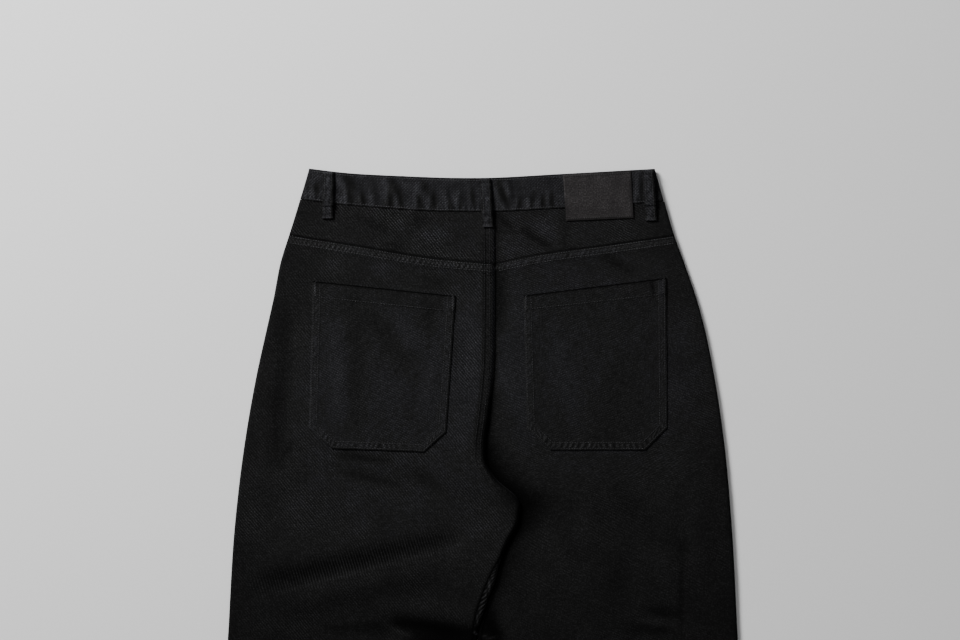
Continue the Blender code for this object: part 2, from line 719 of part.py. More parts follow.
def waist_button():
    """The waist button under the lapped waistband ends, its face on the floor."""
    sides = BUTTON_SIDES
    turn = np.arange(sides) * 2 * math.pi / sides
    down = float(front_line(BAND_TOP, BUTTON_ACROSS) + front_line(BAND_FOOT, BUTTON_ACROSS)) / 2
    rings = [
        np.stack([radius * np.cos(turn), radius * np.sin(turn), np.full(sides, z)], axis=1)
        for radius, z in BUTTON_PROFILE
    ]
    points = np.concatenate(rings) + np.array([BUTTON_ACROSS, LENGTH / 2 - down, 0.0])
    faces = [tuple(range(sides))[::-1], tuple(range(3 * sides, 4 * sides))]
    for ring in range(len(BUTTON_PROFILE) - 1):
        for k in range(sides):
            near, far = ring * sides + k, ring * sides + (k + 1) % sides
            faces.append((near, far, far + sides, near + sides))
    return solid("waist_button", points, faces, METAL)


def grid_normals(grid):
    """The unit normal at each point of a grid, from the faces around it.

    At both ends of each row the turn of the surface is carried on, so that the walls of two pieces
    that meet on a rolled edge stay apart.
    """
    rows, cols = grid.shape[0] - 1, grid.shape[1] - 1
    along = grid[:, 1:] - grid[:, :-1]
    across = grid[1:] - grid[:-1]
    normals = np.zeros_like(grid)
    for row in (0, 1):
        for col in (0, 1):
            corner = np.cross(along[row : row + rows], across[:, col : col + cols])
            normals[row : row + rows, col : col + cols] += corner
    normals /= np.linalg.norm(normals, axis=2, keepdims=True)
    normals[:, 0] = 2 * normals[:, 0] - normals[:, 1]
    normals[:, -1] = 2 * normals[:, -1] - normals[:, -2]
    return normals / np.linalg.norm(normals, axis=2, keepdims=True)


def wall(name, grid, thickness, finish, facing=1):
    """A closed wall of cloth: the grid is its outer face, and the inner face lies the thickness in.

    Facing is 1 where the middle of the outer face looks up, and -1 where it looks down.
    """
    normals = grid_normals(grid)
    middle = normals[grid.shape[0] // 2, grid.shape[1] // 2, 2]
    turned = np.sign(middle) != facing
    outward = -normals if turned else normals
    inner = grid - outward * np.broadcast_to(thickness, grid.shape[:2])[:, :, None]
    rows, cols = grid.shape[:2]
    index = np.arange(rows * cols).reshape(rows, cols)
    back = index + rows * cols
    faces = []
    for r in range(rows - 1):
        for c in range(cols - 1):
            a, b, d, e = index[r, c], index[r, c + 1], index[r + 1, c], index[r + 1, c + 1]
            faces += [(a, b, e), (a, e, d)]
            a, b, d, e = back[r, c], back[r, c + 1], back[r + 1, c], back[r + 1, c + 1]
            faces += [(a, e, b), (a, d, e)]
    rim = [*index[0, :], *index[1:, -1], *index[-1, -2::-1], *index[-2:0:-1, 0]]
    for near, far in zip(rim, rim[1:] + rim[:1]):
        under, beyond = near + rows * cols, far + rows * cols
        faces += [(near, under, beyond), (near, beyond, far)]
    if turned:
        faces = [face[::-1] for face in faces]
    points = np.concatenate([grid.reshape(-1, 3), inner.reshape(-1, 3)])
    return solid(name, points, faces, finish)


def solid(name, points, faces, finish):
    """A named object with its own material."""
    mesh = bpy.data.meshes.new(name)
    mesh.from_pydata(points.tolist(), [], [tuple(int(i) for i in face) for face in faces])
    mesh.validate()
    mesh.shade_smooth()
    mesh.set_sharp_from_angle(angle=math.radians(40))
    mesh.materials.append(make_material(name, finish))
    made = bpy.data.objects.new(name, mesh)
    bpy.context.scene.collection.objects.link(made)
    return made


class Finish(NamedTuple):
    """The plain look of one kind of piece."""

    colour: tuple
    roughness: float
    metallic: float


DENIM = Finish((0.016, 0.016, 0.018), 0.85, 0.0)
LEATHER_FINISH = Finish((0.060, 0.052, 0.048), 0.70, 0.0)
METAL = Finish((0.110, 0.105, 0.100), 0.35, 1.0)


def make_material(name, finish):
    """A Principled material for one piece."""
    material = bpy.data.materials.new(name)
    material.use_nodes = True
    shader = material.node_tree.nodes["Principled BSDF"]
    shader.inputs["Base Color"].default_value = (*finish.colour, 1.0)
    shader.inputs["Roughness"].default_value = finish.roughness
    shader.inputs["Metallic"].default_value = finish.metallic
    material.diffuse_color = (*finish.colour, 1.0)
    return material


def clear_scene():
    """Removes every object, so that the model stands alone."""
    for old in list(bpy.data.objects):
        bpy.data.objects.remove(old, do_unlink=True)


def main():
    """Builds the garment piece by piece."""
    clear_scene()
    for side in (LEFT, RIGHT):
        back_panel(side)
        back_yoke(side)
        front_panel(side)
        pocket_side(side)
        front_loop(side)
    waistband()
    for pocket in POCKETS:
        back_pocket(pocket)
    for loop in BACK_LOOPS:
        back_loop(loop)
    leather_patch()
    waist_button()


main()
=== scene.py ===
"""The looks of a pair of baggy black jeans laid flat with the back upwards.

Every length is in metres, in the part's own frame: +X to the right as the garment is seen, +Y towards
the waist, and the cloth rests on z = 0. "Down" is a distance from the waistband's corners towards the
hems. Left and right are the wearer's, which are also the picture's.
"""

from __future__ import annotations

import logging
import math
from dataclasses import dataclass, field
from enum import Enum
from typing import Callable

import bpy
import numpy as np
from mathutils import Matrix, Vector

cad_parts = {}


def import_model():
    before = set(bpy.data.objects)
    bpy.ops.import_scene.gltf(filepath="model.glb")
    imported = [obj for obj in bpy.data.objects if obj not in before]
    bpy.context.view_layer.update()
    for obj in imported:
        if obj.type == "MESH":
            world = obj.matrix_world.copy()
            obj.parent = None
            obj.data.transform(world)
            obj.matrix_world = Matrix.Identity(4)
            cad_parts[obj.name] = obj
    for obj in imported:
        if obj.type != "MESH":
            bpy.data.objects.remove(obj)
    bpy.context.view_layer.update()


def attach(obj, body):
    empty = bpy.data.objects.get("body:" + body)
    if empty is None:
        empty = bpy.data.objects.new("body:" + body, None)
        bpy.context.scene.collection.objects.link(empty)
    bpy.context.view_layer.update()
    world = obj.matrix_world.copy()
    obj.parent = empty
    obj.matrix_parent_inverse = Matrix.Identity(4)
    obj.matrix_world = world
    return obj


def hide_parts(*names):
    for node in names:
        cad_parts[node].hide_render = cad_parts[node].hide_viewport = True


LOG = logging.getLogger("jeans")
Array = np.ndarray
Material = bpy.types.Material
Object = bpy.types.Object
Place = Callable[[Array, Array], Array]


class Side(Enum):
    """One half of the garment; the value is the way its outer edge lies along x."""

    LEFT = -1
    RIGHT = 1

    @property
    def out(self) -> int:
        """The direction of the outer edge along x."""
        return self.value

    @property
    def word(self) -> str:
        """The side's name in tables and in the names of pieces."""
        return self.name.lower()


LEFT, RIGHT = Side.LEFT, Side.RIGHT


def smooth(at: Array, places: Array, values: Array) -> Array:
    """A smooth curve through values at their places: cubic pieces that share their slopes.

    Args:
        at: Where to read the curve; it stays level past both ends.
        places: The places of the values, rising.
        values: The values there.

    Returns:
        The curve's value at each place asked for.
    """
    at = np.clip(at, places[0], places[-1])
    slopes = np.gradient(values, places)
    low = np.clip(np.searchsorted(places, at, side="right") - 1, 0, len(places) - 2)
    step = places[low + 1] - places[low]
    u = (at - places[low]) / step
    start = (1 + 2 * u) * (1 - u) ** 2 * values[low] + u * (1 - u) ** 2 * step * slopes[low]
    end = u**2 * (3 - 2 * u) * values[low + 1] - u**2 * (1 - u) * step * slopes[low + 1]
    return start + end


def ease(value: Array, low: float, high: float) -> Array:
    """Rises softly from 0 at low to 1 at high: 3u² - 2u³ of the share u of the way."""
    u = np.clip((value - low) / (high - low), 0, 1)
    return u * u * (3 - 2 * u)


def bell(value: Array, middle: float, half_width: float) -> Array:
    """A bell of height 1: e to the minus square of the distance over the half width."""
    return np.exp(-(((value - middle) / half_width) ** 2))


def ripple(across: Array, down: Array, wave: float, seed: int, count: int = 14) -> Array:
    """Soft unevenness: a sum of plane waves in seeded directions, each near the given wave length.

    Args:
        across, down: The places.
        wave: The middle wave length.
        seed: Which pattern it is.
        count: How many waves are added.

    Returns:
        Values that mostly lie between -1 and 1.
    """
    draw = np.random.default_rng(seed)
    total = np.zeros(np.broadcast(across, down).shape)
    for turn, phase, stretch in draw.uniform(0, 1, (count, 3)):
        pace = 2 * math.pi / (wave * 2 ** (1.4 * stretch - 0.7))
        run = across * math.cos(math.pi * turn) + down * math.sin(math.pi * turn)
        total = total + np.sin(pace * run + 2 * math.pi * phase)
    return total / math.sqrt(count / 1.2)


def ripples(rows: tuple, across: Array, down: Array, turn: int = 0) -> Array:
    """The sum of several patterns of unevenness, each a row (height, wave length, seed)."""
    return sum(height * ripple(across, down, wave, seed + turn) for height, wave, seed in rows)


def run_of(points: Array) -> Array:
    """How far along a line each of its points is."""
    return np.concatenate([[0], np.cumsum(np.linalg.norm(np.diff(points, axis=0), axis=1))])


def rope(along: Array, pitch: float, seed: int) -> Array:
    """The twisted puckers of a sewn seam: a sine whose steps and heights wander along the seam.

    Args:
        along: Places along the seam.
        pitch: The length of one twist.
        seed: Which pattern it is.

    Returns:
        Values that mostly lie between -1 and 1.
    """
    level = np.zeros_like(along)
    wander = ripple(along, level, 5 * pitch, seed, 6)
    strength = 0.7 + 0.3 * ripple(along, level, 9 * pitch, seed + 1, 5)
    return np.sin(2 * math.pi * along / pitch + 1.9 * wander) * strength


@dataclass(frozen=True)
class Table:
    """A short table with named columns, read as smooth curves along its first column."""

    columns: tuple[str, ...]
    rows: tuple[tuple[float, ...], ...]

    def column(self, name: str) -> Array:
        """One named column."""
        return np.array([row[self.columns.index(name)] for row in self.rows])

    def at(self, place: Array, name: str = "down") -> Array:
        """The smooth value of a column at places along the first column."""
        return smooth(place, self.column(self.columns[0]), self.column(name))


OUTLINE = Table(
    ("down", "left", "right"),
    (
        (0.0, -0.2083, 0.2083), (0.037, -0.2191, 0.2191), (0.08, -0.2324, 0.2315), (0.11, -0.242, 0.2425),
        (0.158, -0.2516, 0.259), (0.185, -0.2577, 0.2665), (0.25, -0.272, 0.28), (0.33, -0.286, 0.292),
        (0.43, -0.298, 0.301), (0.56, -0.306, 0.308), (0.75, -0.317, 0.318), (0.95, -0.327, 0.327),
        (1.12, -0.334, 0.334),
    ),
)
SEAT_SEAM = Table(
    ("down", "across"),
    (
        (0.0, 0.0157), (0.12, 0.0157), (0.18, 0.0155), (0.241, 0.0144), (0.3, 0.0085), (0.335, 0.0045),
        (0.354, 0.0055), (0.376, 0.0193), (0.3955, 0.0415), (0.405, 0.047),
    ),
)
INNER_LEG = Table(
    ("down", "left", "right", "left_seam", "right_seam"),
    (
        (0.405, 0.047, 0.0475, 0.0, 0.0), (0.429, 0.0421, 0.0427, 0.0, 0.004),
        (0.4485, 0.0313, 0.032, 0.0005, 0.006), (0.4605, 0.0262, 0.027, 0.003, 0.006),
        (0.4834, 0.0193, 0.0202, 0.01, 0.006), (0.5, 0.015, 0.0162, 0.013, 0.006),
        (0.516, 0.0084, 0.0096, 0.0125, 0.006), (0.533, 0.0024, 0.0037, 0.012, 0.006),
        (0.55, -0.003, -0.0018, 0.0105, 0.006), (0.57, -0.006, -0.0046, 0.009, 0.006),
        (0.59, -0.0085, -0.004, 0.008, 0.006), (0.62, -0.014, 0.012, 0.008, 0.006),
        (0.66, -0.022, 0.031, 0.008, 0.006), (0.75, -0.038, 0.051, 0.008, 0.006),
        (0.95, -0.062, 0.07, 0.008, 0.006), (1.12, -0.08, 0.084, 0.008, 0.006),
    ),
)
INNER_ROLL = Table(
    (
        "down", "left_rise", "left_reach", "left_edge", "left_roll",
        "right_rise", "right_reach", "right_edge", "right_roll",
    ),
    (
        (0.0, 0.0, 0.03, 0.0062, 0.004, 0.0, 0.02, 0.0062, 0.003),
        (0.045, 0.0004, 0.03, 0.0061, 0.005, -0.0001, 0.016, 0.0061, 0.003),
        (0.066, 0.001, 0.03, 0.006, 0.006, -0.0002, 0.016, 0.006, 0.003),
        (0.085, 0.0016, 0.03, 0.0056, 0.006, -0.0007, 0.016, 0.0056, 0.003),
        (0.12, 0.0024, 0.034, 0.0049, 0.007, -0.0013, 0.018, 0.0049, 0.003),
        (0.2, 0.003, 0.038, 0.0047, 0.007, -0.0016, 0.022, 0.0047, 0.003),
        (0.32, 0.0038, 0.044, 0.0045, 0.007, -0.0018, 0.03, 0.0045, 0.003),
        (0.38, 0.005, 0.055, 0.0043, 0.007, -0.0021, 0.042, 0.0042, 0.003),
        (0.405, 0.0052, 0.055, 0.0045, 0.007, -0.0022, 0.048, 0.0036, 0.003),
        (0.43, 0.0044, 0.05, 0.0048, 0.006, -0.0022, 0.048, 0.0026, 0.003),
        (0.5, 0.0028, 0.045, 0.0044, 0.005, -0.0016, 0.042, 0.0026, 0.003),
        (0.56, 0.0014, 0.04, 0.0038, 0.005, -0.0006, 0.036, 0.0029, 0.003),
        (0.7, 0.0, 0.04, 0.0032, 0.004, 0.0, 0.036, 0.0031, 0.004),
        (1.12, 0.0, 0.04, 0.0031, 0.004, 0.0, 0.036, 0.0031, 0.004),
    ),
)
# Painted shade beside the seat seam and the inner leg edges: a depth that darkens the colour and a reach over
# which it fades; a negative depth paints light instead
PAINTED_SEAM_SHADING = Table(
    ("down", "left_depth", "left_reach", "right_depth", "right_reach"),
    (
        (0.045, 0.6, 0.003, 0.6, 0.004), (0.11, -1.2, 0.0016, 0.5, 0.008), (0.16, -1.6, 0.0016, 0.2, 0.008),
        (0.218, -1.3, 0.0016, 0.45, 0.004), (0.25, -0.9, 0.002, 0.45, 0.004),
        (0.285, 0.9, 0.003, 1.2, 0.005), (0.315, 1.6, 0.004, 1.5, 0.006), (0.345, 1.8, 0.004, 2.9, 0.011),
        (0.37, 2.4, 0.004, 2.9, 0.015), (0.387, 1.8, 0.007, 2.5, 0.02), (0.405, 1.0, 0.014, 2.6, 0.022),
        (0.423, 0.45, 0.008, 2.2, 0.018), (0.447, 0.45, 0.003, 1.8, 0.014), (0.471, 0.4, 0.003, 1.8, 0.012),
        (0.495, 0.4, 0.003, 1.9, 0.009), (0.545, 0.4, 0.004, 1.7, 0.009), (0.62, 0.3, 0.004, 0.9, 0.01),
        (0.7, 0.2, 0.004, 0.3, 0.01), (1.12, 0.2, 0.004, 0.2, 0.01),
    ),
)
# Painted light falloff: a factor on each half's colour, lower towards the feet where less light falls
PAINTED_LIGHT_FALLOFF = Table(
    ("down", "left", "right"),
    (
        (0.04, 0.8, 0.82), (0.12, 0.83, 0.9), (0.25, 0.95, 0.98), (0.34, 0.9, 0.86), (0.4, 0.86, 0.78),
        (0.45, 0.8, 0.73), (0.5, 0.66, 0.67), (0.56, 0.61, 0.6), (0.7, 0.6, 0.62), (1.12, 0.6, 0.62),
    ),
)
BAND_TOP = Table(
    ("across", "down"),
    (
        (-0.2083, 0.0), (-0.171, 0.0046), (-0.0987, 0.009), (-0.002, 0.0114), (0.0951, 0.0066),
        (0.179, 0.002), (0.2083, 0.0004),
    ),
)
BAND_FOOT = Table(
    ("across", "down"),
    (
        (-0.2191, 0.037), (-0.1758, 0.0427), (-0.1192, 0.0476), (-0.065, 0.051), (0.0157, 0.0518),
        (0.0987, 0.0476), (0.1824, 0.0427), (0.2191, 0.0394),
    ),
)
YOKE_SEAM = {
    LEFT: Table(
        ("across", "down"),
        ((-0.2330, 0.0800), (-0.1577, 0.0921), (-0.0566, 0.1086), (0.0157, 0.1150)),
    ),
    RIGHT: Table(
        ("across", "down"),
        ((0.0157, 0.1150), (0.0542, 0.1066), (0.1613, 0.0909), (0.2315, 0.0808)),
    ),
}


def lifted(folds: tuple, across: Array, down: Array, unit: float = 0.001) -> Array:
    """The sum of soft ridges, or troughs where a rise is negative, lower towards their ends.

    Args:
        folds: A row for each, in millimetres: across and down of both ends, half width, rise.
        across, down: The places.
        unit: What a rise of 1 stands for.

    Returns:
        The rise at each place, which fades as a bell across a fold and past its ends.
    """
    total = 0.0
    across, down = across * 1000, down * 1000
    for x0, d0, x1, d1, half_width, rise in folds:
        run_x, run_d = x1 - x0, d1 - d0
        share = ((across - x0) * run_x + (down - d0) * run_d) / (run_x**2 + run_d**2)
        share = np.clip(share, 0, 1)
        away = np.hypot(across - x0 - share * run_x, down - d0 - share * run_d)
        crest = 1 - 0.45 * (2 * share - 1) ** 2
        total = total + rise * unit * crest * np.exp(-((away / half_width) ** 2))
    return total


# The folds of the solids, in millimetres
FOLDS = {
    LEFT: (
        (-262, 505, -40, 450, 15, -2.6), (-262, 478, -60, 425, 22, 1.2), (-250, 528, -30, 470, 20, 2.2),
        (-231, 190, -246, 360, 13, -1.3), (-252, 250, -262, 380, 12, 0.8), (-166, 364, -75, 384, 14, -0.9),
        (-125, 527, -16, 540, 14, 2.8), (-105, 560, -12, 572, 14, -2.7), (-150, 610, -40, 625, 26, 2.2),
        (-300, 640, -160, 700, 28, 1.8), (-250, 690, -80, 760, 24, -1.4), (-240, 860, -120, 900, 32, 2),
        (-290, 985, -190, 1010, 26, 1.6),
    ),
    RIGHT: (
        (52, 74, 84, 96, 9, -1), (148, 107, 179, 124, 10, -0.9), (6, 535, 26, 572, 11, -2.2),
        (190, 372, 165, 470, 24, -1.2), (225, 400, 232, 560, 18, 1.2), (90, 430, 110, 540, 32, 1.2),
        (200, 536, 240, 545, 10, -0.9), (185, 556, 232, 560, 10, -0.9), (110, 610, 250, 650, 28, 1.8),
        (80, 720, 230, 690, 24, -1.4), (140, 820, 280, 860, 30, 2), (110, 960, 220, 1000, 28, 1.6),
    ),
}

# Narrower creases that only the finished cloth has, in millimetres
CREASES = {
    LEFT: (
        (-258, 497, -120, 464, 9, -0.5), (-128, 465, -36, 445, 8, -0.5), (-246, 511, -60, 461, 6, 0.3),
        (-229, 330, -240, 350, 5, -0.5), (-169, 344.5, -113, 352, 6, -0.6),
        (-162.5, 367, -105, 381, 6, -0.5), (-79.5, 368, -47, 385, 10, -0.5), (-118, 546, -10, 562, 7, -0.8),
        (-105, 100, -70, 62, 10, -0.6), (-140, 66, -90, 92, 11, 0.4), (-215, 120, -160, 160, 12, -0.5),
        (-270, 640, -190, 655, 8, -1.4), (-180, 735, -70, 770, 9, -1.5), (-280, 830, -170, 845, 10, -1.3),
        (-160, 930, -90, 945, 9, -1.2), (-310, 1040, -230, 1060, 8, -1.2),
    ),
    RIGHT: (
        (53, 76.5, 65, 85, 4, -0.7), (65, 85, 84, 95.5, 4, -0.5), (28, 64, 38.5, 73, 3.5, -0.5),
        (148, 107, 179, 124, 5, -0.5), (240.8, 490, 240.8, 575, 3, -0.6), (208, 537, 229, 544, 5, -0.6),
        (188, 556, 229, 557, 5, -0.6), (198, 547, 234, 548, 5, 0.4), (150, 600, 260, 628, 8, -1.3),
        (100, 700, 190, 728, 9, -1.4), (200, 790, 290, 812, 9.5, -1.4), (130, 890, 210, 905, 9, -1.2),
        (240, 1010, 310, 1030, 8, -1.2),
    ),
}


# Painted shade and painted light: strokes where the cloth is drawn darker or lighter than its slope makes it;
# a rise is a natural logarithm
PAINTED_LIGHT_AND_SHADE = {
    LEFT: (
        (-258, 494, -150, 474, 11.5, -0.36), (-150, 474, -40, 445, 11, -0.42),
        (-250, 501, -55, 457, 13, -0.26), (-246, 511, -28, 454, 2.6, 0.28),
        (-240, 530, -60, 500, 14, -0.22), (-100, 546, -8, 560, 8, -1.3), (-78, 568, -5, 574, 12, -1.7),
        (-150, 548, -95, 552, 4.5, -0.4), (-186, 553, -118, 557, 5.8, -0.45),
        (-116.5, 549, -88, 563, 3, 0.6), (-236, 180, -248, 353, 11, -0.3), (-229, 330, -241, 352, 4, -0.3),
        (-169, 346, -113, 352, 5, -0.5), (-162, 367, -105, 381, 6, -0.35), (-80, 368, -47, 386, 8, -0.25),
        (-146, 60, -110, 77, 7, -0.35), (-86, 60, -66, 62, 7, -0.25), (-117, 95, -92, 98, 8, -0.35),
        (-75, 79, -50, 80, 8, 0.2), (-200, 112, -175, 116, 10, 0.15), (-135, 116, -120, 120, 9, 0.18),
        (-70, 132, -45, 138, 9, -0.3), (-10, 150, -12, 300, 14, 0.14), (-240, 150, -260, 380, 30, -0.12),
    ),
    RIGHT: (
        (20, 56, 39, 76.5, 4, -0.5), (51, 75, 84, 96, 4.2, -0.6), (60, 62, 88, 84, 9, 0.14),
        (100, 57, 97, 100, 7, -0.32), (148, 107, 179, 124, 6, -0.4), (28, 90, 33, 105, 9, 0.16),
        (158, 383, 219, 447, 15, -0.26), (178, 446, 153, 527, 13, -0.24), (200, 529, 236, 537, 6, -0.4),
        (185, 543, 232, 551, 4.5, 0.14), (180, 555, 235, 560, 6, -0.34),
        (240.2, 450, 240.2, 550, 3.2, -0.22), (252, 390, 252, 470, 8, 0.14), (7.5, 542, 20, 572, 9, -1.8),
        (-2, 563.2, 6, 564.5, 1.3, 1.6), (6, 564.5, 19, 565.5, 1.3, 1.4),
        (20.5, 130, 19.5, 190, 8.5, -0.66), (31, 215, 27, 260, 8, 0.08),
        (81.9, 340.2, 196.3, 340.2, 1.5, 0.3), (197.2, 340, 223.8, 313.2, 1.4, 0.25),
        (245, 130, 260, 340, 30, 0.06),
    ),
}


# A painted highlight on the rope's end beside the inseam, drawn as a rim that curls towards the right leg
PAINTED_CURL_HIGHLIGHT = (
    (-11.2, 550, -9.5, 558, 1.3, 2.6), (-9.5, 558, -2, 563, 1.4, 3),
)

# Where the twill stands out as upright lines, in the thigh's trough
COMB = {LEFT: ((-262, 501, -45, 448, 16, 1),), RIGHT: ()}


@dataclass(frozen=True)
class Form:
    """The garment's shape, with the same sizes and formulas as the solids, and its finer relief."""

    length: float = 1.120
    cloth: float = 0.0012
    gap: float = 0.0003
    touch: float = 0.00004
    parting_downs: tuple[float, float] = (0.560, 0.585)
    back_level: float = 0.0063
    band_level: float = 0.0074
    least_level: float = 0.0034
    waist_lift: float = 0.0016
    waist_lift_ends: tuple[float, float] = (0.080, 0.115)
    button_across: float = 0.016
    button_lift: float = 0.0005
    button_lift_reach: float = 0.025
    front_band_drop: float = 0.026
    crotch_down: float = 0.405
    outer_roll: float = 0.004
    under_lip: float = 0.012
    fell_width: float = 0.0112
    fell_rise: float = 0.0008
    fell_rope: float = 0.00034
    row_press: float = 0.00022
    rope_pitch: float = 0.0054
    seat_fell_width: float = 0.0138
    uneven: tuple = ((0.00009, 0.034, 11), (0.00018, 0.090, 17))
    blotches: tuple = ((0.045, 0.040, 31), (0.05, 0.012, 35))
    outer_shade: float = 0.28
    outer_shade_reach: float = 0.045
    hem_depth: float = 0.014
    hem_cloth: float = 0.0022
    outer_hem_rise: float = 0.030

    def points(self, across: Array, down: Array, height: Array) -> Array:
        """Points in the frame from places across, distances down and heights."""
        return np.stack(np.broadcast_arrays(across, self.length / 2 - down, height), axis=-1)

    def outer_edge(self, side: Side, down: Array) -> Array:
        """The side's silhouette."""
        return OUTLINE.at(down, side.word)

    def inner_edge(self, side: Side, down: Array) -> Array:
        """The seat seam above the crotch, and the inner edge of the side's leg below it.

        Args:
            side: Which half.
            down: Distances down.

        Returns:
            The edge's places across.
        """
        seat = SEAT_SEAM.at(down, "across") + (self.touch if side is RIGHT else 0)
        leg = INNER_LEG.at(down, side.word)
        if side is RIGHT:
            close = INNER_LEG.at(down, "left") + self.touch
            leg = close + (leg - close) * ease(down, *self.parting_downs)
        return np.where(down < self.crotch_down, seat, leg)

    def back_height(self, side: Side, across: Array, down: Array) -> Array:
        """The outer face of the solids' back above the floor: a level, the swell at the seam, the folds.

        Args:
            side: Which half.
            across, down: The places.

        Returns:
            Heights above the floor.
        """
        inward = (across - self.inner_edge(side, down)) * side.out
        rise = INNER_ROLL.at(down, side.word + "_rise")
        reach = INNER_ROLL.at(down, side.word + "_reach")
        height = self.back_level + rise * np.exp(-((inward / reach) ** 2))
        return np.maximum(height + lifted(FOLDS[side], across, down), self.least_level)

    def floor_height(self, across: Array, down: Array) -> Array:
        """The outer face of the front above the floor."""
        bump = self.button_lift * bell(across, self.button_across, self.button_lift_reach)
        return (self.waist_lift + bump) * (1 - ease(down, *self.waist_lift_ends))

    def outer_level(self, top: float, share: Array) -> Array:
        """How far down a leg panel's rows are at its outer edge, at shares of the way to the hem."""
        return top + share * (self.length - self.outer_hem_rise - top)

    def thickness(self, down: Array) -> Array:
        """A leg panel's wall: one cloth, and doubled at the hem."""
        hem = ease(down, self.length - self.hem_depth - 0.0008, self.length - self.hem_depth)
        return self.cloth + (self.hem_cloth - self.cloth) * hem

    def hem_row(self, side: Side, inset: float) -> tuple[Array, Array]:
        """The hem's row of stitches, from an inset at the outer edge inwards, as across and down.

        Args:
            side: Which half.
            inset: How far in.

        Returns:
            Places across, and distances down.
        """
        turn = self.length - self.hem_depth + 0.002
        outer, inner = self.outer_edge(side, turn), self.inner_edge(side, turn)
        start = outer - side.out * inset
        across = start + np.linspace(0, 1, 240) * (inner + side.out * 0.006 - start)
        return across, turn - self.outer_hem_rise * (across - inner) / (outer - inner)

    def front_line(self, table: Table, across: Array) -> Array:
        """How far down a waistband edge lies at the front, which hangs lower between its ends."""
        places, downs = table.column("across"), table.column("down")
        level = np.interp(across, places[[0, -1]], downs[[0, -1]])
        return level + self.front_band_drop * np.clip(1 - (across / places[-1]) ** 2, 0, 1)

    def creases(self, side: Side, across: Array, down: Array) -> Array:
        """The narrower creases and the soft unevenness of the finished cloth."""
        return ripples(self.uneven, across, down, side.out) + lifted(CREASES[side], across, down)

    def fell(self, distance: Array, along: Array, width: float, seed: int) -> tuple[Array, Array]:
        """A felled seam: a raised band beside its line, pressed in at two rows and roped between them.

        Args:
            distance: How far from the seam's line, on the side of the band.
            along: How far along the seam.
            width: The band's width.
            seed: Which roping it has.

        Returns:
            The rise, and how worn the raised places are.
        """
        on = ease(distance, -0.0002, 0.0002)
        band = on * (1 - ease(distance, width - 0.0016, width + 0.0022))
        twist = rope(along + 0.55 * distance, self.rope_pitch, seed)
        between = bell(distance, 0.55 * width, 0.30 * width)
        rows = bell(distance, 0.0016, 0.0008) + bell(distance, width - 0.0022, 0.0010)
        rise = on * (self.fell_rope * twist * between - self.row_press * rows) + self.fell_rise * band
        outside = bell(distance, width + 0.003, 0.005) * on
        rise = rise + 0.45 * self.fell_rope * twist * outside
        wear = on * (between * (0.40 + 0.80 * twist) - 0.50 * rows)
        return rise, wear

    def relief(self, side: Side, across: Array, down: Array) -> tuple[Array, Array]:
        """The finer relief of a back panel or yoke, and its wear with painted shade.

        Args:
            side: Which half.
            across, down: The places.

        Returns:
            The rise above the solid, and the wear with painted shade.
        """
        rise = self.creases(side, across, down)
        # Lighter where raised, as wear, and darker in the creases, as painted shade
        wear = 200 * np.clip(rise, -0.001, 0.001)
        seam = YOKE_SEAM[side].at(across)
        raised, worn = self.fell(down - seam, across, self.fell_width, 40 + side.out)
        rise, wear = rise + raised, wear + worn
        if side is LEFT:
            inward = self.inner_edge(side, down) - across
            seat = 1 - ease(down, self.crotch_down - 0.03, self.crotch_down)
            raised, worn = self.fell(inward, down, self.seat_fell_width, 47)
            rise, wear = rise + 0.7 * seat * raised, wear + 0.4 * seat * worn
        return rise, wear

    def shade(self, side: Side, across: Array, down: Array) -> Array:
        """The back's painted light and shade as a factor: lower towards the feet, in folds, and in the hollow
        at the seam.

        Args:
            side: Which half.
            across, down: The places.

        Returns:
            Factors on the colour.
        """
        inward = np.maximum((across - self.inner_edge(side, down)) * side.out, 0)
        outward = np.maximum((self.outer_edge(side, down) - across) * side.out, 0)
        depth = PAINTED_SEAM_SHADING.at(down, side.word + "_depth")
        reach = PAINTED_SEAM_SHADING.at(down, side.word + "_reach")
        # Painted shade in the hollow at the seam, fading with the distance in
        total = -depth * np.exp(-inward / reach)
        # Painted shade along the outer edge
        total = total - self.outer_shade * np.exp(-outward / self.outer_shade_reach)
        total = total + ripples(self.blotches, across, down, side.out)
        seam = YOKE_SEAM[side].at(across)
        # Painted shadow: a dark line just above the yoke seam
        total = total - 1.1 * bell(down, seam - 0.0006, 0.0010)
        if side is LEFT:
            # Painted shade on the seat seam's felled band and its rows
            rows = 0.45 * bell(inward, 0.0064, 0.0011) + 1.1 * bell(inward, 0.0126, 0.0015)
            rows = rows + 0.32 * bell(inward, 0.0080, 0.0070)
            total = total - rows * ease(down, 0.060, 0.110) * (1 - ease(down, 0.315, 0.362))
        # Painted light falloff towards the feet, and the painted strokes of light and shade
        return PAINTED_LIGHT_FALLOFF.at(down, side.word) * np.exp(total + lifted(PAINTED_LIGHT_AND_SHADE[side], across, down, 1))

    def fine_height(self, side: Side, across: Array, down: Array) -> Array:
        """The finished cloth's outer face above the floor."""
        height = self.back_height(side, across, down) + self.relief(side, across, down)[0]
        return np.maximum(height, self.least_level)

    def rolled_height(self, side: Side, across: Array, down: Array) -> Array:
        """The finished cloth's height, also on the quarter round where it turns down to a seam.

        Args:
            side: Which half.
            across, down: The places.

        Returns:
            Heights above the floor.
        """
        roll = INNER_ROLL.at(down, side.word + "_roll")
        edge = INNER_ROLL.at(down, side.word + "_edge")
        inward = (across - self.inner_edge(side, down)) * side.out
        turn = np.sqrt(np.clip(1 - (1 - np.clip(inward / roll, 0, 1)) ** 2, 0, 1))
        return edge + (self.fine_height(side, across, down) - edge) * turn


FORM = Form()


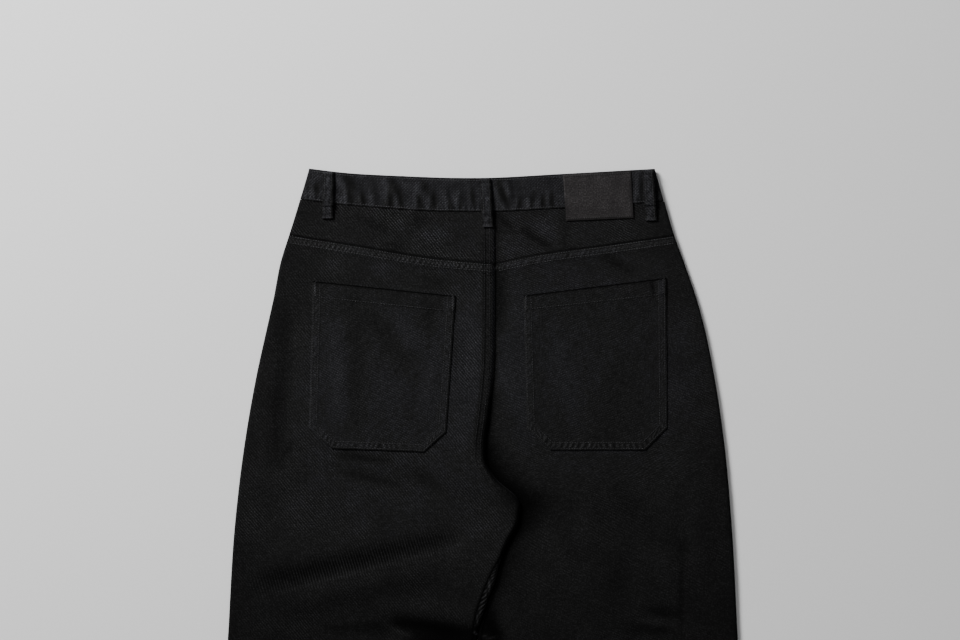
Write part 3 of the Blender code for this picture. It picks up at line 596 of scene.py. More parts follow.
def rolled(wrap: Array, roll: Array, top: Array, edge: Array, floor: Array) -> tuple[Array, Array]:
    """A place on a rolled edge: a quarter ellipse on each side of the outermost line.

    Args:
        wrap: Distance along the cloth from the outermost line, positive over the top.
        roll: How far in from the line the turn begins.
        top: The height past the turn above.
        edge: The height of the outermost line.
        floor: The height past the turn below.

    Returns:
        The distance in from the outermost line, and the height.
    """
    quarter = roll * math.pi / 2
    angle = np.minimum(np.abs(wrap) / quarter, 1) * math.pi / 2
    inward = roll * (1 - np.cos(angle)) + np.maximum(np.abs(wrap) - quarter, 0)
    goal = np.where(wrap > 0, top, floor)
    return inward, edge + (goal - edge) * np.sin(angle)


@dataclass
class Surface:
    """A grid of points with what the material reads: places in the cut cloth, wear and painted light, painted
    shade and light, and comb.
    """

    points: Array
    wear: Array
    thickness: Array | float
    facing: int = 1
    shade: Array | float = 1.0
    comb: Array | float = 0.0

    def normals(self) -> Array:
        """Unit normals from the faces round each point, with their turn carried on at row ends.

        Returns:
            One unit vector a point.
        """
        along, across = np.diff(self.points, axis=1), np.diff(self.points, axis=0)
        rows, cols = self.points.shape[0] - 1, self.points.shape[1] - 1
        total = np.zeros_like(self.points)
        for r in (0, 1):
            for c in (0, 1):
                corner = np.cross(along[r : r + rows], across[:, c : c + cols])
                total[r : r + rows, c : c + cols] += corner
        total /= np.linalg.norm(total, axis=2, keepdims=True)
        total[:, 0] = 2 * total[:, 0] - total[:, 1]
        total[:, -1] = 2 * total[:, -1] - total[:, -2]
        return total / np.linalg.norm(total, axis=2, keepdims=True)

    def steps(self, axis: int) -> Array:
        """The lengths between neighbouring points, down the columns (0) or along the rows (1)."""
        return np.linalg.norm(np.diff(self.points, axis=axis), axis=2)

    def cloth_places(self) -> Array:
        """Each point's place in the flat cloth: lengths along its row from the row's middle, and down.

        Returns:
            Two lengths a point.
        """
        steps = self.steps(1)
        run = np.concatenate([np.zeros((len(steps), 1)), np.cumsum(steps, axis=1)], axis=1)
        middle = run.shape[1] // 2
        across = run - run[:, middle : middle + 1] + self.points[:, middle : middle + 1, 0]
        return np.stack([across, self.points[:, :, 1]], axis=2)

    def cut(self) -> tuple[tuple[float, float], float]:
        """The flat size of the cloth, as its longest row and column, and its area.

        Returns:
            The row and the column, and the area in square metres.
        """
        width, length = (self.steps(axis).sum(axis=axis).max() for axis in (1, 0))
        along, across = np.diff(self.points, axis=1), np.diff(self.points, axis=0)
        halves = ((along[:-1], across[:, :-1]), (along[1:], across[:, 1:]))
        area = sum(np.linalg.norm(np.cross(*half), axis=2).sum() / 2 for half in halves)
        return (float(width), float(length)), float(area)


def linked(name: str, data: bpy.types.ID) -> Object:
    """A new object of the data, in the scene and at the origin."""
    made = bpy.data.objects.new(name, data)
    bpy.context.scene.collection.objects.link(made)
    return made


def ring_faces(rings: int, sides: int) -> tuple[Array, Array, Array]:
    """The point numbers of rings stacked on each other: the rings, each point's neighbour, the quads."""
    index = np.arange(rings * sides).reshape(rings, sides)
    after = np.roll(index, -1, axis=1)
    return index, after, np.stack([index[:-1], index[1:], after[1:], after[:-1]], axis=-1).reshape(-1, 4)


def mesh_of(name: str, points: Array, quads: Array, sharp: float = 40.0) -> Object:
    """A smooth-shaded object from points and four-sided faces, with edges sharp past an angle.

    Args:
        name: The piece's name.
        points: Corner places, one row each.
        quads: Four point numbers a row, anticlockwise from outside.
        sharp: The angle in degrees past which an edge stays sharp.

    Returns:
        The new object, at the origin.
    """
    mesh = bpy.data.meshes.new(name)
    mesh.vertices.add(len(points))
    mesh.vertices.foreach_set("co", points.astype(np.float32).ravel())
    mesh.loops.add(quads.size)
    mesh.loops.foreach_set("vertex_index", quads.astype(np.int32).ravel())
    mesh.polygons.add(len(quads))
    mesh.polygons.foreach_set("loop_start", np.arange(0, quads.size, 4, dtype=np.int32))
    mesh.update(calc_edges=True)
    mesh.validate()
    mesh.shade_smooth()
    mesh.set_sharp_from_angle(angle=math.radians(sharp))
    return linked(name, mesh)


def shell(name: str, surface: Surface) -> Object:
    """A closed thin shell: the surface, its inner face the thickness further in, and a rim between.

    Args:
        name: The piece's name.
        surface: The outer face.

    Returns:
        The new object, with a "cloth" UV map in metres and the attributes "wear", "shade" (painted shade and
        light) and "comb".
    """
    normals = surface.normals()
    rows, cols = surface.points.shape[:2]
    turned = np.sign(normals[rows // 2, cols // 2, 2]) != surface.facing
    outward = -normals if turned else normals
    depth = np.broadcast_to(surface.thickness, (rows, cols))[:, :, None]
    inner = surface.points - outward * depth
    index = np.arange(rows * cols).reshape(rows, cols)
    corners = (index[:-1, :-1], index[:-1, 1:], index[1:, 1:], index[1:, :-1])
    face = np.stack([corner.ravel() for corner in corners], axis=1)
    rim = np.concatenate([index[0, :], index[1:, -1], index[-1, -2::-1], index[-2:0:-1, 0]])
    beyond = np.roll(rim, -1)
    total = rows * cols
    edge = np.stack([rim, rim + total, beyond + total, beyond], axis=1)
    quads = np.concatenate([face, face[:, ::-1] + total, edge])
    if turned:
        quads = quads[:, ::-1]
    points = np.concatenate([surface.points.reshape(-1, 3), inner.reshape(-1, 3)])
    made = mesh_of(name, points, quads)
    places = np.tile(surface.cloth_places().reshape(-1, 2), (2, 1))
    layer = made.data.uv_layers.new(name="cloth")
    layer.data.foreach_set("uv", places[quads.ravel()].astype(np.float32).ravel())
    for word, values in (("wear", surface.wear), ("shade", surface.shade), ("comb", surface.comb)):
        attribute = made.data.attributes.new(word, "FLOAT", "POINT")
        flat = np.broadcast_to(values, (rows, cols)).ravel()
        attribute.data.foreach_set("value", np.tile(flat, 2).astype(np.float32))
    return made


class Wire:
    """One output of a material's node tree, on which sums are written as in Python."""

    def __init__(self, shading: Shading, socket: bpy.types.NodeSocket) -> None:
        """Keeps the socket and the tree that new nodes go into."""
        self.shading = shading
        self.socket = socket

    def _math(self, operation: str, *values: Wire | float) -> Wire:
        """A Math node of an operation on up to three values."""
        return self.shading.node("ShaderNodeMath", {"operation": operation}, dict(enumerate(values)))

    def __add__(self, other: Wire | float) -> Wire:
        """Sum."""
        return self._math("ADD", self, other)

    def __mul__(self, other: Wire | float) -> Wire:
        """Product."""
        return self._math("MULTIPLY", self, other)

    def __sub__(self, other: Wire | float) -> Wire:
        """Difference."""
        return self._math("SUBTRACT", self, other)

    def __rsub__(self, other: Wire | float) -> Wire:
        """Difference from a number."""
        return self._math("SUBTRACT", other, self)

    __radd__, __rmul__ = __add__, __mul__

    def sine(self) -> Wire:
        """The sine of the value in radians."""
        return self._math("SINE", self)

    def limited(self, low: float = 0.0, high: float = 1.0) -> Wire:
        """The value kept between two numbers."""
        return self._math("MINIMUM", self._math("MAXIMUM", self, low), high)


class Shading:
    """A material's node tree, filled through one method."""

    def __init__(self, name: str) -> None:
        """Makes the material and finds its shader.

        Args:
            name: Its name.
        """
        self.material = bpy.data.materials.new(name)
        self.material.use_nodes = True
        self.tree = self.material.node_tree
        self.shader = self.tree.nodes["Principled BSDF"]

    def node(
        self, kind: str, settings: dict | None = None, inputs: dict | None = None, out: str | int = 0
    ) -> Wire:
        """A new node of a kind.

        Args:
            kind: The node's type.
            settings: Its properties, set first; "stops" are a ramp's (place, colour) pairs.
            inputs: Values or wires for its inputs, by name or number.
            out: The output that is given back.

        Returns:
            The wire from that output.
        """
        made = self.tree.nodes.new(kind)
        for name, value in (settings or {}).items():
            if name == "stops":
                ramp = made.color_ramp.elements
                while len(ramp) < len(value):
                    ramp.new(0.5)
                for element, (place, colour) in zip(ramp, value):
                    element.position = place
                    element.color = (*colour, 1.0)
            else:
                setattr(made, name, value)
        for name, value in (inputs or {}).items():
            self.feed(made.inputs[name], value)
        return Wire(self, made.outputs[out])

    def feed(self, socket: bpy.types.NodeSocket, value: Wire | float | tuple) -> None:
        """Links a wire to an input, or sets the input's own value.

        Args:
            socket: The input.
            value: What it gets.
        """
        if isinstance(value, Wire):
            self.tree.links.new(value.socket, socket)
        else:
            socket.default_value = value

    def finish(self, **values: Wire | float | tuple) -> Material:
        """Feeds the shader's inputs, named with _ for a space, and gives the material."""
        for name, value in values.items():
            self.feed(self.shader.inputs[name.replace("_", " ")], value)
        return self.material

    def places(self) -> tuple[Wire, Wire, Wire]:
        """The flat cloth's places as a vector, and its across and down parts, in metres."""
        vector = self.node("ShaderNodeUVMap", {"uv_map": "cloth"})
        split = self.node("ShaderNodeSeparateXYZ", None, {0: vector})
        return vector, split, Wire(self, split.socket.node.outputs[1])

    def attribute(self, name: str) -> Wire:
        """A value that the piece carries at its points."""
        return self.node("ShaderNodeAttribute", {"attribute_name": name}, out="Fac")

    def noise(self, vector: Wire, scale: float, detail: float = 2.0, rough: float = 0.55) -> Wire:
        """A noise between 0 and 1 with its cells 1/scale across."""
        settings = {"noise_dimensions": "3D"}
        inputs = {"Vector": vector, "Scale": scale, "Detail": detail, "Roughness": rough}
        return self.node("ShaderNodeTexNoise", settings, inputs)

    def ramp(self, value: Wire, stops: tuple) -> Wire:
        """The colour that a value has between stops."""
        return self.node("ShaderNodeValToRGB", {"stops": stops}, {0: value})

    def bump(self, height: Wire, distance: float, strength: float = 1.0) -> Wire:
        """The normal of a height between 0 and 1 that stands for a distance."""
        inputs = {"Height": height, "Distance": distance, "Strength": strength}
        return self.node("ShaderNodeBump", None, inputs)


def grey(level: float, blue: float = 1.0) -> tuple[float, float, float]:
    """A near-neutral colour, a little cooler where blue is over 1."""
    return (level, level, level * blue)


@dataclass(frozen=True)
class Denim:
    """Black twill: steep lines across the cut cloth, broken by the weft, worn lighter where raised, with
    painted light and shade from the piece.
    """

    name: str
    steepness: float = 50.0
    twill_pitch: float = 0.0029
    weft_pitch: float = 0.0027
    contrast: float = 0.41
    dots: float = 0.45
    comb_steepness: float = 73.0
    comb_pitch: float = 0.0034
    comb_depth: float = 1.15
    broad_scale: float = 11.0
    patch_scale: float = 30.0
    slub_scale: float = 210.0
    speck_scale: float = 560.0
    least_clear: float = 0.2
    most_clear: float = 1.3
    sparkle: float = 0.58
    worn: float = 0.30
    dark: float = 0.0010
    middle: float = 0.0093
    light: float = 0.0600
    roughness: float = 0.88
    relief: float = 0.00035

    def wave(self, places: tuple[Wire, Wire], steepness: float, pitch: float, wander: Wire) -> Wire:
        """Lines across the flat cloth at a steepness in degrees, which wander sideways."""
        turn = math.radians(steepness)
        run = places[0] * math.sin(turn) + places[1] * math.cos(turn)
        return (run * (2 * math.pi / pitch) + wander).sine()

    def material(self) -> Material:
        """Twill lines from a sine of the place across them, weft dots along them, the wear, and the painted
        light and shade.

        Returns:
            The material.
        """
        s = Shading(self.name)
        vector, *places = s.places()
        wear, shade, comb = (s.attribute(name) for name in ("wear", "shade", "comb"))
        broad = s.noise(vector, self.broad_scale, 1.0) - 0.5
        patch = s.noise(vector, self.patch_scale, 3.0) - 0.5
        slub = s.noise(vector, self.slub_scale, 2.0) - 0.5
        speck = s.noise(vector, self.speck_scale, 1.0) - 0.5
        wander = patch * 4.0 + slub * 4.4
        line = self.wave(places, self.steepness, self.twill_pitch, wander)
        weft = self.wave(places, self.steepness - 90, self.weft_pitch, wander * 1.5)
        upright = self.wave(places, self.comb_steepness, self.comb_pitch, patch * 5.0)
        # The twill shows more where the painted shade is lighter
        clear = broad * 3.0 + patch * 2.2 + shade * 1.5 - 0.35
        clear = clear.limited(self.least_clear, self.most_clear)
        weave = (line * (1 - self.dots) + line * weft * self.dots) * clear
        weave = weave * (1 - comb) + upright * comb * self.comb_depth
        tone = 0.5 + weave * (0.5 * self.contrast) + speck * self.sparkle + slub * 0.25
        stops = (
            (0.0, grey(self.dark)), (0.5, grey(self.middle)),
            (0.75, grey(0.42 * self.light, 1.03)), (1.0, grey(self.light, 1.05)),
        )
        # Painted light and shade: the colour adds the wear and painted light, is scaled by the shade
        # attribute, and turns bluer where that paints more light
        colour = s.ramp((tone + wear * self.worn).limited(), stops)
        blue = (0.60 + shade * 0.50).limited(1.0, 1.08)
        painted_shade_colour = s.node("ShaderNodeCombineXYZ", None, {0: shade, 1: shade, 2: shade * blue})
        height = weave * 0.25 + slub * 0.35 + speck * 0.25 + 0.30
        return s.finish(
            Base_Color=s.node("ShaderNodeVectorMath", {"operation": "MULTIPLY"}, {0: colour, 1: painted_shade_colour}),
            Roughness=self.roughness,
            Specular_IOR_Level=0.02,
            Sheen_Weight=0.03,
            Sheen_Roughness=0.45,
            Sheen_Tint=(0.45, 0.45, 0.48, 1.0),
            Normal=s.bump(height, self.relief, 0.6),
        )


@dataclass(frozen=True)
class Suede:
    """The bare patch: brownish-grey leather with a short nap, and faint edges painted lighter towards the
    light and darker away from it.
    """

    name: str = "patch_suede"

    def material(self) -> Material:
        """Nap from two noises, blotches from a larger one, and the painted light and shade of the edges.

        Returns:
            The material.
        """
        s = Shading(self.name)
        vector, _, _ = s.places()
        blotch = s.noise(vector, 60.0, 3.0)
        nap = s.noise(vector, 1100.0, 3.0)
        grain = s.noise(vector, 600.0, 1.0)
        wear = s.attribute("wear")
        tone = 0.472 + (blotch - 0.5) * 0.35 + (nap - 0.5) * 0.80 + (grain - 0.5) * 0.90 + wear * 0.25
        stops = (
            (0.0, (0.0050, 0.0046, 0.0046)),
            (0.5, (0.0186, 0.0171, 0.0175)),
            (1.0, (0.0640, 0.0600, 0.0605)),
        )
        return s.finish(
            Base_Color=s.ramp(tone.limited(), stops),
            Roughness=0.80,
            Specular_IOR_Level=0.05,
            Sheen_Weight=0.03,
            Sheen_Roughness=0.5,
            Normal=s.bump(nap * 0.5 + grain * 0.5, 0.0003, 0.6),
        )


@dataclass(frozen=True)
class Thread:
    """Sewing thread: two plies wound round each other, a little glossier than the cloth."""

    name: str
    colour: tuple[float, float, float]

    def material(self) -> Material:
        """Plies from a fine noise, and a painted lustre that comes and goes along the rows from a coarse one.

        Returns:
            The material.
        """
        s = Shading(self.name)
        place = s.node("ShaderNodeTexCoord", out="Object")
        ply = s.noise(place, 1500.0, 1.0)
        painted_lustre = s.noise(place, 110.0, 2.0)
        # The coarse noise paints the lustre into the colour, from a darker stop up to the full colour
        shade = tuple(0.22 * part for part in self.colour)
        stops = ((0.36, shade), (0.52, tuple(0.6 * part for part in self.colour)), (0.66, self.colour))
        return s.finish(
            Base_Color=s.ramp(painted_lustre * 0.8 + ply * 0.2, stops),
            Roughness=0.60,
            Specular_IOR_Level=0.15,
            Normal=s.bump(ply, 0.0002, 0.5),
        )


@dataclass(frozen=True)
class Gunmetal:
    """The waist button's dark metal, brushed."""

    name: str = "button_gunmetal"

    def material(self) -> Material:
        """Fine scratches from a noise, in colour and in roughness.

        Returns:
            The material.
        """
        s = Shading(self.name)
        place = s.node("ShaderNodeTexCoord", out="Object")
        scratch = s.noise(place, 900.0, 3.0)
        stops = ((0.3, (0.060, 0.058, 0.056)), (0.8, (0.170, 0.165, 0.160)))
        return s.finish(
            Base_Color=s.ramp(scratch, stops),
            Metallic=1.0,
            Roughness=0.30 + scratch * 0.20,
            Normal=s.bump(scratch, 0.0001, 0.4),
        )


@dataclass
class Stitching:
    """Rows of lockstitch gathered into one joined mesh.

    A stitch is a slim closed bead: three rings of five points and a tip at each end. Between two stitches
    lies a small dark six-sided patch of painted shade for a needle hole, where the rows have one.
    """

    name: str
    material: Material
    hole: Material | None = None
    pitch: float = 0.0031
    share: float = 0.74
    width: float = 0.00075
    height: float = 0.00045
    up: int = 1
    centres: list[Array] = field(default_factory=list)
    frames: list[Array] = field(default_factory=list)

    def row(self, place: Place, across: Array, down: Array, pitch: float | None = None) -> None:
        """Sews a row along places on a surface.

        Args:
            place: Gives the surface's points at (across, down).
            across: Closely spaced places across.
            down: The same places down.
            pitch: The stitches' pitch, if not the usual one.
        """
        pitch = pitch or self.pitch
        points = place(across, down)
        run = run_of(points)
        count = max(1, int(run[-1] / pitch))
        at = (np.arange(count) + 0.5) * run[-1] / count
        x, d = np.interp(at, run, across), np.interp(at, run, down)
        reach = 0.4 * pitch
        ahead = place(np.interp(at + reach, run, across), np.interp(at + reach, run, down))
        behind = place(np.interp(at - reach, run, across), np.interp(at - reach, run, down))
        along = ahead - behind
        along /= np.linalg.norm(along, axis=1, keepdims=True)
        beside = place(x - 0.0004 * along[:, 1], d - 0.0004 * along[:, 0])
        centre = place(x, d)
        aside = beside - centre
        normal = np.cross(along, aside)
        normal /= np.linalg.norm(normal, axis=1, keepdims=True)
        normal *= np.sign(normal[:, 2:] + 1e-9) * self.up
        aside = np.cross(normal, along)
        size = np.array([pitch * self.share / 2, self.width / 2, self.height])
        frame = np.stack([along * size[0], aside * size[1], normal * size[2]], axis=1)
        self.centres.append(centre)
        self.frames.append(frame)

    def build(self) -> None:
        """Joins the stitches: each bead is the same ring pattern set in the stitch's own axes."""
        turn = np.arange(5) * 2 * math.pi / 5 + math.pi / 2
        rings = [
            np.stack([np.full(5, along), wide * np.cos(turn), 0.25 + 0.75 * wide * np.sin(turn)], axis=1)
            for along, wide in ((-0.62, 0.85), (0.0, 1.0), (0.62, 0.85))
        ]
        bead = np.concatenate([*rings, [[-1.0, 0.0, -0.1], [1.0, 0.0, -0.1]]])
        index, after, sides = ring_faces(3, 5)
        tips = [[index[0], after[0], np.full(5, 15)], [after[2], index[2], np.full(5, 16)]]
        caps = np.concatenate(tips, axis=1).T
        centres, frames = np.concatenate(self.centres), np.concatenate(self.frames)
        points = self.placed(bead, centres, frames).reshape(-1, 3)
        many = np.arange(len(centres))[:, None, None] * len(bead)
        faces = [tuple(face) for part in (sides, caps) for face in np.concatenate(part + many).tolist()]
        sewn = len(faces)
        mesh = bpy.data.meshes.new(self.name)
        # Painted shade: a flat dark hexagon stands for each needle hole
        if self.hole:
            turn = np.arange(6) * math.pi / 3
            middle, long = 1 / self.share, 1 / self.share - 0.85
            rim = np.stack([middle + long * np.cos(turn), 1.1 * np.sin(turn), np.full(6, 0.30)], axis=1)
            rims = self.placed(rim, centres, frames)
            order = np.arange(6) if self.clockwise(rims) else np.arange(6)[::-1]
            holes = len(points) + np.arange(len(centres))[:, None] * 6 + order
            faces.extend(map(tuple, holes.tolist()))
            points = np.concatenate([points, rims.reshape(-1, 3)])
        mesh.from_pydata(points.tolist(), [], faces)
        mesh.materials.append(self.material)
        if self.hole:
            mesh.materials.append(self.hole)
            kinds = (np.arange(len(faces)) >= sewn).astype(np.int32)
            mesh.polygons.foreach_set("material_index", kinds)
        mesh.validate()
        mesh.shade_smooth()
        made = linked(self.name, mesh)
        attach(made, "root")
        LOG.info("%s: %d stitches", self.name, len(centres))

    def placed(self, pattern: Array, centres: Array, frames: Array) -> Array:
        """A pattern of points set in every stitch's own axes."""
        return centres[:, None, :] + np.einsum("pa,nab->npb", pattern, frames)

    def clockwise(self, rims: Array) -> bool:
        """Whether the holes' corners already run so that their faces look outwards."""
        first = np.cross(rims[:, 1] - rims[:, 0], rims[:, 2] - rims[:, 1])[:, 2]
        return bool(np.sign(first.sum()) == self.up)


def cloth_piece(
    node: str,
    surface: Surface,
    finish: Material,
    ending: str = "cloth",
) -> None:
    """Makes and dresses the cloth of a solid, hides the solid, and logs the cloth's cut.

    Args:
        node: The solid that it replaces, which also names it.
        surface: Its outer face, from which its cut is measured.
        finish: Its material.
        ending: The last word of its name.
    """
    made = shell(f"{node}_{ending}", surface)
    made.data.materials.append(finish)
    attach(made, "root")
    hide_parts(node)
    flat, area = surface.cut()
    area = min(area, flat[0] * flat[1])
    LOG.info("%s: cut %.3f x %.3f m, %.4f square metres", made.name, *flat, area)


def back_surface(
    form: Form, side: Side, outer_down: Array, inner_down: Array, sag: Callable, columns: int, arc: int
) -> tuple[Array, Array, Array]:
    """A back piece's outer face: from its lip under the garment, round the edge and over to the seam.

    Args:
        form: The garment's form.
        side: Which half.
        outer_down: How far down each row's outer end is, one a row.
        inner_down: How far down its inner end is.
        sag: How far the row hangs below the straight line between its ends, at places across.
        columns: How many steps the flat top has.
        arc: How many steps each quarter turn has.

    Returns:
        The grid of points, its wear with painted shade, and its painted shade and light.
    """
    outer_down, inner_down = outer_down[:, None], inner_down[:, None]
    quarter = form.outer_roll * math.pi / 2
    lip = -quarter - (form.under_lip - form.outer_roll)
    wraps = np.concatenate([[lip, (lip - quarter) / 2], np.linspace(-quarter, quarter, 2 * arc + 1)])[None]
    inward, _ = rolled(wraps, form.outer_roll, 0, 0, 0)
    x_outer = form.outer_edge(side, outer_down) - side.out * inward
    top = form.fine_height(side, x_outer, outer_down)
    floor = form.floor_height(x_outer, outer_down)
    _, z_outer = rolled(wraps, form.outer_roll, top, (top + floor) / 2, floor)
    band = np.where(wraps < 0, form.front_line(BAND_FOOT, x_outer), BAND_FOOT.at(x_outer))
    down_outer = np.maximum(outer_down, band + form.gap)

    roll = INNER_ROLL.at(inner_down, side.word + "_roll")
    edge = INNER_ROLL.at(inner_down, side.word + "_edge")
    start = INNER_LEG.at(inner_down, side.word + "_seam")
    wraps = start + np.linspace(1, 0, arc + 1)[None] * roll * math.pi / 2
    inward, _ = rolled(wraps, roll, 0, 0, 0)
    x_inner = form.inner_edge(side, inner_down) + side.out * inward
    _, z_inner = rolled(wraps, roll, form.fine_height(side, x_inner, inner_down), edge, 0)

    share = np.linspace(0, 1, columns + 1)[None, 1:-1]
    x_top = x_outer[:, -1:] + share * (x_inner[:, :1] - x_outer[:, -1:])
    down_top = outer_down + share * (inner_down - outer_down) + sag(x_top)
    z_top = form.fine_height(side, x_top, down_top)
    x = np.concatenate([x_outer, x_top, x_inner], axis=1)
    down = np.concatenate([down_outer, down_top, np.broadcast_to(inner_down, x_inner.shape)], axis=1)
    z = np.concatenate([z_outer, z_top, z_inner], axis=1)
    # Painted shadow: a dark line along the fold where the back turns down at the inseam
    fold = bell(wraps, start, 0.0018) * ease(start, 0.001, 0.006)
    shade = form.shade(side, x, down)
    shade[:, -fold.shape[1] :] *= 1 - 0.8 * fold
    return form.points(x, down, z), form.relief(side, x, down)[1], shade


@dataclass
class BackPanels:
    """The two back leg panels, from the yoke seam to the hem."""

    form: Form
    finish: dict[Side, Material]
    fine_step: float = 0.0027
    coarse_step: float = 0.0038
    shown_down: float = 0.600
    columns: int = 112
    arc: int = 4

    def rows(self, top: float) -> Array:
        """The rows' distances down: close where the picture shows them, wider below, and the hem's.

        Args:
            top: Where the first row lies.

        Returns:
            Distances down, one a row.
        """
        turn = self.form.length - self.form.hem_depth
        near = np.arange(top, self.shown_down, self.fine_step)
        far = np.arange(self.shown_down, turn - 0.004, self.coarse_step)
        hem = np.array([turn - 0.001, turn, turn + 0.002, turn + 0.006, turn + 0.010, self.form.length])
        return np.concatenate([near, far, hem])

    def build(self, side: Side) -> None:
        """One panel: rows that follow the yoke seam at the top and slant to the hem at the foot.

        Args:
            side: Which half.
        """
        form = self.form
        inner_top = float(YOKE_SEAM[side].at(form.inner_edge(side, 0.115)))
        outer_top = float(YOKE_SEAM[side].at(form.outer_edge(side, 0.080)))
        inner = self.rows(inner_top + form.touch)
        share = (inner - inner_top) / (form.length - inner_top)
        outer = form.outer_level(outer_top, share) + form.touch
        fade = ((form.length - inner) / (form.length - inner_top))[:, None] ** 6
        ends = (form.outer_edge(side, outer)[:, None], form.inner_edge(side, inner)[:, None])

        def sag(x: Array) -> Array:
            """The yoke seam's bow at the top row, fading towards the hem."""
            part = (x - ends[0]) / (ends[1] - ends[0])
            return fade * (YOKE_SEAM[side].at(x) - outer_top - part * (inner_top - outer_top))

        points, wear, shade = back_surface(form, side, outer, inner, sag, self.columns, self.arc)
        comb = lifted(COMB[side], points[..., 0], form.length / 2 - points[..., 1], 1)
        surface = Surface(points, wear, form.thickness(inner)[:, None], shade=shade, comb=comb)
        cloth_piece(f"back_panel_{side.word}", surface, self.finish[side])

    def place(self, side: Side) -> Place:
        """Gives points of a side's finished back at (across, down).

        Args:
            side: Which half.

        Returns:
            The function that gives them.
        """

        def at(across: Array, down: Array) -> Array:
            """Points on the back's outer face."""
            return self.form.points(across, down, self.form.rolled_height(side, across, down))

        return at

    def sew(self, thread: Stitching) -> None:
        """The rows of the yoke seam and the hems.

        Args:
            thread: Gathers the rows.
        """
        form = self.form
        steps = np.linspace(0, 1, 240)
        for side in Side:
            place = self.place(side)
            outer = form.outer_edge(side, 0.09) - side.out * 0.004
            inner = form.inner_edge(side, 0.115) + side.out * 0.0045
            across = outer + steps * (inner - outer)
            seam = YOKE_SEAM[side].at(across)
            for offset in (0.0017, form.fell_width - 0.0020):
                thread.row(place, across, seam + offset)
            thread.row(place, *form.hem_row(side, 0.006))

    def sew_seat(self, thread: Stitching) -> None:
        """The two rows beside the seat seam."""
        down = np.linspace(0.056, 0.372, 300)
        for offset in (0.0064, 0.0128):
            thread.row(self.place(LEFT), self.form.inner_edge(LEFT, down) - offset, down)


@dataclass
class Yokes:
    """The two back yokes, between the waistband and the yoke seam."""

    form: Form
    finish: dict[Side, Material]
    columns: int = 120
    steps: int = 30
    arc: int = 4

    def build(self, side: Side) -> None:
        """One yoke: rows shared out between the waistband's foot and the yoke seam.

        Args:
            side: Which half.
        """
        form = self.form
        share = np.linspace(0, 1, self.steps + 1)
        share = np.sort(np.concatenate([share, [0.978, 0.989]]))

        def level(x: Array, part: Array) -> Array:
            """How far down a row lies at places across."""
            high = BAND_FOOT.at(x) + form.gap / 2
            low = YOKE_SEAM[side].at(x) - form.touch
            return high + part * (low - high)

        first = form.outer_edge(side, 0.037 + share * (0.080 - 0.037))
        outer = level(first, share)
        inner = level(form.inner_edge(side, 0.0), share)
        ends = (form.outer_edge(side, outer)[:, None], form.inner_edge(side, inner)[:, None])

        def sag(x: Array) -> Array:
            """How far each row bows from the straight line between its ends."""
            part = (x - ends[0]) / (ends[1] - ends[0])
            return level(x, share[:, None]) - outer[:, None] - part * (inner - outer)[:, None]

        points, wear, shade = back_surface(form, side, outer, inner, sag, self.columns, self.arc)
        surface = Surface(points, wear, form.cloth, shade=shade)
        cloth_piece(f"back_yoke_{side.word}", surface, self.finish[side])


